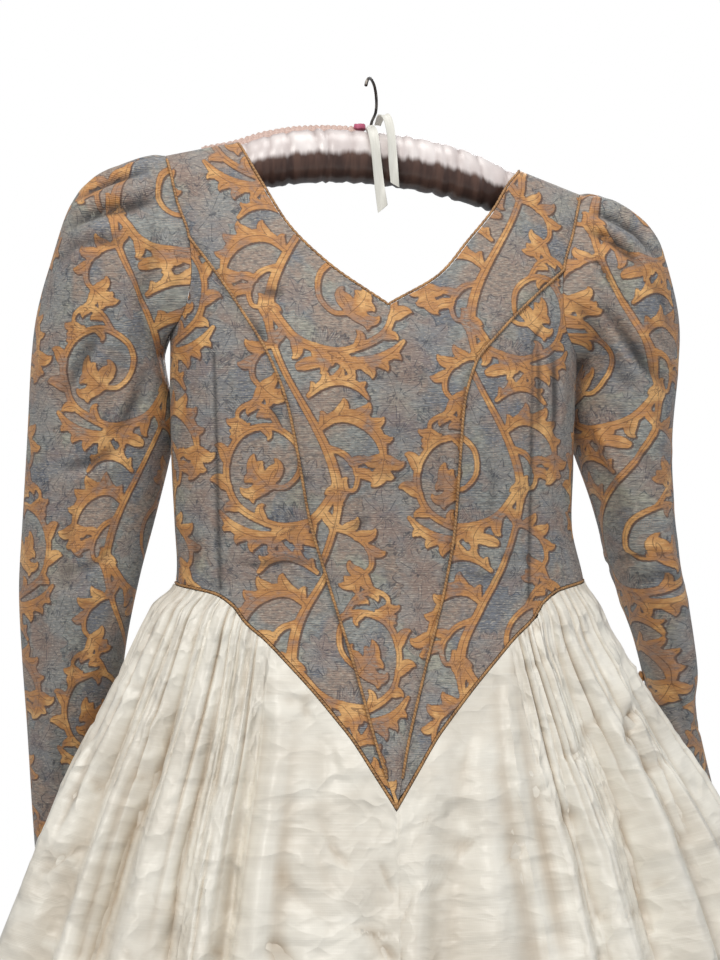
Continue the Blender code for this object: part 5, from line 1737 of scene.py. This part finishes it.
def makeCords():
    f = formSettings
    gap = cordRadius + seamGap
    for name, isBack in (("front", False), ("back", True)):
        angle, drop = neckPath(isBack)
        points, normals = form(angle, drop), formNormal(angle, drop)
        way = unit(np.cross(normals, unit(np.gradient(points, axis=0))))
        line = points + way * gap * (-1 if isBack else 1) - normals * cordSunk
        line[[0, -1], 1] += cordEnds if isBack else -cordEnds
        cordTube("neckCord." + name, line, normals, ["piping_neck_" + name])
    for side in (-1, 1):
        name = sideName(side)
        lower = np.linspace(0.606, f["princessTop"], 150)
        tip = float(at(armholeTable, name, f["shoulderTip"]))
        top = lerp(float(shoulderDrop(np.array(tip))), f["princessTop"], 0.081)
        upper = np.linspace(f["princessTop"], top, 40)[1:]
        drop = np.concatenate([lower, upper])
        x = np.concatenate([at(princessTable, name, lower), at(armholeTable, name, upper)])
        angle = formAngle(x, drop)
        normals = formNormal(angle, drop)
        line = form(angle, drop) + normals * (gap - 0.0006)
        cordTube("princessCord." + name, line, normals, ["piping_princess_" + name])
    halves = {side: movedWaist(side, gap, cordSunk) for side in (-1, 1)}
    lines = {}
    for side, (line, normals, angle, _) in halves.items():
        turn = math.pi if side < 0 else 0.0
        split = int(np.argmax(angle >= turn)) if side < 0 else int(np.argmax(angle <= turn))
        lines[side] = (line, normals, split)
    for name, cut, apart in (
        ("front", lambda line, split: line[: split + 1][::-1], -cordEnds),
        ("back", lambda line, split: line[split:], cordEnds),
    ):
        left, leftNormal = (cut(lines[-1][i], lines[-1][2]) for i in (0, 1))
        right, rightNormal = (cut(lines[1][i], lines[1][2])[::-1][1:] for i in (0, 1))
        line = np.concatenate([left, right])
        normals = np.concatenate([leftNormal, rightNormal])
        line[[0, -1], 1] += apart
        cordTube("waistCord." + name, line, normals, ["piping_waist_" + name])


buttonSettings = {
    "radius": 0.0055,
    "height": 0.0042,
    "sides": 24,
    "wristCount": 6,
    "wristRing": 10.45,
    "wristPitch": 0.42,
    "backCount": 7,
    "backTop": 0.304,
    "backPitch": 0.0225,
    "profile": (
        (0.80, 0.0), (0.95, 0.12), (1.0, 0.32), (0.93, 0.55), (0.78, 0.74), (0.56, 0.88), (0.30, 0.97),
        (0.08, 1.0),
    ),
}


def makeButton(name, place, normal, node, shift):
    s = buttonSettings
    beside = unit(np.cross(normal, (0.3, 0.2, 1.0)))
    beyond = np.cross(normal, beside)
    base = place + normal * seamGap
    points, spread = [], []
    for radius, height in s["profile"]:
        for k in range(s["sides"]):
            a = math.tau * k / s["sides"]
            pucker = 1 + 0.03 * math.cos(6 * a) * (1 - height)
            flat = (beside * math.cos(a) + beyond * math.sin(a)) * s["radius"] * radius * pucker
            points.append(base + flat + normal * s["height"] * height)
            spread.append((shift + math.cos(a) * radius * 0.006, shift * 2.3 + math.sin(a) * radius * 0.006))
    made = addMesh(name, points, ringFaces(len(s["profile"]), s["sides"]), brocade, spread)
    return dressed(made, [node])


def makeButtons():
    s = buttonSettings
    for side in (-1, 1):
        skin, turn, place = sleeveGrid(side)
        name = sideName(side)
        for n in range(s["wristCount"]):
            ring = s["wristRing"] + s["wristPitch"] * n
            row = skin[int(np.argmin(np.abs(place - ring)))]
            k = int(np.argmin(np.abs(turn - math.pi)))
            after = skin[int(np.argmin(np.abs(place - ring))) - 3][k]
            down = unit(row[k] - after)
            around = unit(row[k + 1] - row[-2])
            normal = unit(np.cross(around, down)) * side
            middle = (row[0] + row[-1]) / 2
            node = f"wrist_button_{name}_{n + 1}"
            makeButton(f"wristButton.{name}.{n + 1}", middle, normal, node, 0.05 + 0.031 * n)
    for n in range(s["backCount"]):
        drop = s["backTop"] + s["backPitch"] * n
        angle = formAngle(np.array(frontMiddle + s["radius"] + 2 * seamGap), np.array(drop), True)
        place, normal = form(angle, drop), formNormal(angle, drop)
        makeButton(f"backButton.{n + 1}", place, normal, f"back_button_{n + 1}", 0.02 + 0.027 * n)


print("cords and buttons")
makeCords()
makeButtons()

hangerSettings = {
    "reach": 0.174,
    "dimples": 46,
    "middle": 0.004,
    "columns": 181,
    "sides": 60,
    "fill": 0.8,
    "gathers": ((-0.049, 0.0016), (-0.040, 0.0014), (0.012, 0.0012), (0.020, 0.0015), (0.031, 0.0016),
                (0.040, 0.0013), (0.056, 0.0015), (0.066, 0.0012), (0.075, 0.0015), (0.098, 0.0012),
                (-0.075, 0.0014), (-0.093, 0.0012),
                (-0.112, 0.0012), (-0.020, 0.0011), (-0.006, 0.0010), (0.118, 0.0012)),
}
hangerTable = makeTable(
    ("out", "top", "bottom", "depth"),
    (
        (0.000, 0.0470, 0.0927, 0.0215),
        (0.030, 0.0478, 0.0940, 0.0215),
        (0.064, 0.0515, 0.0980, 0.0215),
        (0.095, 0.0590, 0.1045, 0.0210),
        (0.125, 0.0708, 0.1105, 0.0190),
        (0.150, 0.0780, 0.1130, 0.0165),
        (0.168, 0.0850, 0.1110, 0.0110),
        (0.174, 0.0920, 0.1040, 0.0050),
    ),
)


def hangerAt(out, side):
    x = hangerSettings["middle"] * np.minimum(out / 0.1, 1.0) + side * out
    lean = formSettings["tilt"] * x
    top, bottom, depth = (at(hangerTable, key, out) for key in ("top", "bottom", "depth"))
    return x, -top - lean, -bottom - lean, depth


def makeHanger():
    s = hangerSettings
    share = np.linspace(-1, 1, s["columns"])
    out = s["reach"] * np.sin(np.abs(share) * math.pi / 2) ** 0.9
    side = np.where(share < 0, -1.0, 1.0)
    x, top, bottom, depth = hangerAt(out, side)
    middle, half = (top + bottom) / 2, (top - bottom) / 2
    a = np.linspace(0, math.tau, s["sides"], endpoint=False)
    generator = np.random.default_rng(3)
    swell = np.zeros((len(x), len(a)))
    for place, height in s["gathers"]:  # stitched gathers across the pad
        lean = generator.uniform(-0.006, 0.006)
        line = x[:, None] - place - lean * np.cos(a)[None, :]
        swell -= height * np.exp(-((line / 0.0022) ** 2)) * (0.45 + 0.55 * np.abs(np.cos(a))[None, :])
        swell += height * 0.5 * np.exp(-((np.abs(line) - 0.005) / 0.003) ** 2)
    for _ in range(s["dimples"]):
        place, turned = generator.uniform(-0.165, 0.165), generator.uniform(0, math.tau)
        gap = np.abs((a[None, :] - turned + math.pi) % math.tau - math.pi)
        line = (x[:, None] - place - 0.004 * gap * generator.uniform(-1, 1)) / generator.uniform(0.0012, 0.003)
        swell += generator.normal(0, 0.00013) * np.exp(-(line**2) - (gap / 0.6) ** 2)
    y = -depth[:, None] * np.sin(a)
    z = middle[:, None] + half[:, None] * np.cos(a)
    points = np.stack([x[:, None] + 0 * y, y, z], -1)
    outY, outZ = -np.sin(a)[None, :] * half[:, None], np.cos(a)[None, :] * depth[:, None]
    outward = unit(np.stack([0 * y, outY, outZ], -1))
    points = points + outward * np.clip(swell, -0.003, 0.0022)[..., None]
    faces = ringFaces(len(x), len(a))
    # how deep each stitched gather sinks, which sets the painted shade in the pad's folds
    fold = np.clip(-swell / 0.0016, 0, 1)
    spread = np.stack([x[:, None] + 0 * y, (a * 0.03)[None, :] + 0 * y, fold], -1).reshape(-1, 3)
    made = addMesh("hangerPad", points.reshape(-1, 3), faces, satin, spread)
    # how low each point sits round the pad, 0 on top and 1 below, where the satin paints its shade
    low = ((1 - np.cos(a)) / 2)[None, :] + 0 * y
    attribute = made.data.attributes.new("lowness", "FLOAT", "POINT")
    attribute.data.foreach_set("value", low.ravel().astype(np.float32))
    dressed(made, ["hanger_pad"])


trimSettings = {
    "start": -0.152,
    "end": -0.013,
    "columns": 211,
    "scallop": 0.0052,
    "pleat": 0.0047,
    "low": 0.0026,
    "high": 0.0046,
    "sunk": 0.0016,  # how far it runs down into the pad
    "thick": 0.0006,
    "cut": (0.0100, 0.155),
    "area": 0.00085,
}


def makeTrim():  # a narrow scalloped edging along the top of the pad
    s = trimSettings
    x = np.linspace(s["end"], s["start"], s["columns"])
    top = hangerAt(-x, -1.0)[1]
    wave = np.abs(np.sin(math.pi * x / s["scallop"])) ** 0.6
    high = lerp(s["low"], s["high"], wave)
    rows = np.linspace(1, 0, 4)[:, None]
    z = top - s["sunk"] + (high + s["sunk"]) * rows
    y = -0.0008 - 0.0006 * np.sin(2 * math.pi * x / s["pleat"]) * rows
    points = np.stack([x + 0 * z, y + 0 * z, z], -1)
    flat = np.stack([x + 0 * z, z], -1)
    normal = np.zeros_like(points)
    normal[..., 1] = -1.0
    made = clothPiece("hangerTrim", [(points, normal, flat)], s["thick"], tanTrim)
    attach(made, rest)


ribbonSettings = {
    "knotSides": 30,
    "knotCut": 0.018,
    "knotArea": 0.00013,
    "cut": 0.010,
    "thick": 0.0006,
    "step": 0.0012,
    "strips": {
        "ribbonTail": (0.0085, "ribbon_tail_front", 0.0028, (
            (-0.0022, -0.0044, -0.0428), (-0.0018, -0.0125, -0.0452), (-0.0010, -0.0190, -0.0520),
            (0.0000, -0.0232, -0.0620), (0.0012, -0.0242, -0.0740), (0.0030, -0.0240, -0.0900),
            (0.0050, -0.0245, -0.1070), (0.0070, -0.0250, -0.1215),
        )),
        "ribbonLoop": (0.0077, "ribbon_loop_tail", -0.0026, (
            (0.0055, -0.0030, -0.0409), (0.0064, -0.0105, -0.0355), (0.0090, -0.0150, -0.0335),
            (0.0120, -0.0190, -0.0380), (0.0138, -0.0232, -0.0480), (0.0148, -0.0268, -0.0620),
            (0.0156, -0.0280, -0.0780), (0.0166, -0.0275, -0.0900), (0.0176, -0.0270, -0.1015),
        )),
    },
    "knot": ((0.0026, -0.0408), (0.0036, -0.0412), (0.0043, -0.0425), (0.0046, -0.0440), (0.0043, -0.0453),
             (0.0036, -0.0464), (0.0026, -0.0468)),
    "wire": 0.00155,
}


def rounded(points, times=3):  # a polyline with its corners cut again and again
    points = np.asarray(points, float)
    for _ in range(times):
        near = lerp(points[:-1], points[1:], 0.25)
        far = lerp(points[:-1], points[1:], 0.75)
        middle = np.stack([near, far], 1).reshape(-1, 3)
        points = np.concatenate([points[:1], middle[1:-1], points[-1:]])
    return points


def makeRibbons():
    s = ribbonSettings
    for name, (width, node, cut, route) in s["strips"].items():
        line = resampled(rounded(route), s["step"])[0]
        line = line[: (len(line) - 1) // 3 * 3 + 1]
        across = np.linspace(1, -1, 10)
        along = unit(np.gradient(line, axis=0))
        sway = 0.25 * np.sin(np.linspace(0, 5, len(line)))
        wide = np.stack([np.ones(len(line)), sway, np.zeros(len(line))], -1)
        wide = unit(wide - along * np.sum(wide * along, 1, keepdims=True))
        normal = unit(np.cross(wide, -along))
        normal = normal * np.where(normal[:, 1:2] > 0, -1, 1)
        gone = np.linspace(0, 1, len(line))
        narrow = lerp(0.62, 1.0, smooth(gone / 0.16))  # drawn together at the knot
        reach = across[None, :] * (width / 2 * narrow)[:, None]
        points = line[:, None] + wide[:, None] * reach[..., None]
        # the ribbon dishes, turns a little and is cut at a slant
        dish = 0.0007 * (across**2)[None, :] + 0.0008 * np.sin(7 * gone)[:, None] * across[None, :]
        pinch = 0.0006 * np.cos(across * 9)[None, :] * (1 - smooth(gone / 0.14))[:, None]
        points = points + normal[:, None] * (dish + pinch)[..., None]
        points[..., 2] += cut * across[None, :] * smooth((gone - 0.75) / 0.25)[:, None]
        flat = np.stack([reach, gone[:, None] * 0.09 + 0 * reach], -1)
        outward = gridNormals(points)
        made = clothPiece(name, [(points, outward, flat)], s["thick"], ribbonSatin)
        dressed(made, [node])


def makeKnot():
    s = ribbonSettings
    sides = s["knotSides"]
    a = np.linspace(0, math.tau, sides, endpoint=False)
    rings = [(s["wire"], s["knot"][0][1])] + list(s["knot"]) + [(s["wire"], s["knot"][-1][1])]
    points = []
    for n, (radius, z) in enumerate(rings):
        inner = n in (0, len(rings) - 1)
        wound = 0.0 if inner else 0.00035 * np.cos(2 * a + 1.4 * n)
        points.append(np.stack([(radius + wound) * np.cos(a), (radius + wound) * np.sin(a), z + 0 * a], -1))
    points = np.asarray(points)[::-1]
    faces = ringFaces(len(points), sides, False)
    last = (len(points) - 1) * sides
    faces += [(last + k, last + (k + 1) % sides, (k + 1) % sides, k) for k in range(sides)]
    spread = np.stack([a[None, :] * 0.004 + 0 * points[..., 2], points[..., 2]], -1).reshape(-1, 2)
    made = addMesh("ribbonKnot", points.reshape(-1, 3), faces, ribbonSatin, spread)
    dressed(made, ["ribbon_knot"])


roseSettings = {
    "x": -0.0105,
    "flat": 0.8,
    "rings": ((0.0020, -0.0464), (0.0035, -0.0457), (0.0050, -0.0447), (0.0056, -0.0438), (0.0055, -0.0425),
              (0.0052, -0.0412), (0.0046, -0.0400)),
    "petals": ((0.2, 2.5, 0.98, 0.0004), (2.2, 2.4, 0.94, 0.0003), (4.2, 2.5, 0.96, 0.0005),
               (1.0, 3.0, 0.78, 0.0), (3.4, 3.0, 0.74, 0.0), (5.4, 3.2, 0.58, -0.0002),
               (2.0, 3.6, 0.40, -0.0002)),
    "thick": 0.0004,
    "cut": (0.010, 0.066),
    "area": 0.00050,
}


def makeRosebud():
    s = roseSettings
    radii, heights = np.array(s["rings"])[::-1].T
    grids = []
    for start, wide, share, curl in s["petals"]:
        a = np.linspace(start, start + wide, 13)
        fall = np.clip(np.sin((a - start) / wide * math.pi), 0, 1) ** 0.4  # each petal is rounded at the top
        radius = radii[:, None] * share + curl * np.linspace(1, -0.4, len(radii))[:, None]
        z = lerp(heights[-1], heights[:, None] + (1 - share) * 0.0008, 0.72 + 0.28 * fall[None, :])
        points = np.stack([s["x"] + radius * np.cos(a), s["flat"] * radius * np.sin(a), z + 0 * radius], -1)
        flat = np.stack([a + 0 * z, np.linspace(1, 0, len(radii))[:, None] + 0 * z], -1)
        grids.append((points, gridNormals(points), flat))
    made = clothPiece("rosebudPetals", grids, s["thick"], roseSilk)
    dressed(made, ["rosebud"])


print("hanger")
makeHanger()
makeTrim()
makeRibbons()
makeKnot()
makeRosebud()
for place in bpy.data.objects["hook"].material_slots:
    place.material = steel


def makeGround():
    s = viewSettings
    points = [
        (s["floorRadius"] * math.cos(a), s["floorRadius"] * math.sin(a), -s["floorDrop"])
        for a in np.linspace(0, math.tau, 64, endpoint=False)
    ]
    floor = addMesh("studioFloor", points, [list(range(64))], makeFloor(), [p[:2] for p in points])


makeGround()
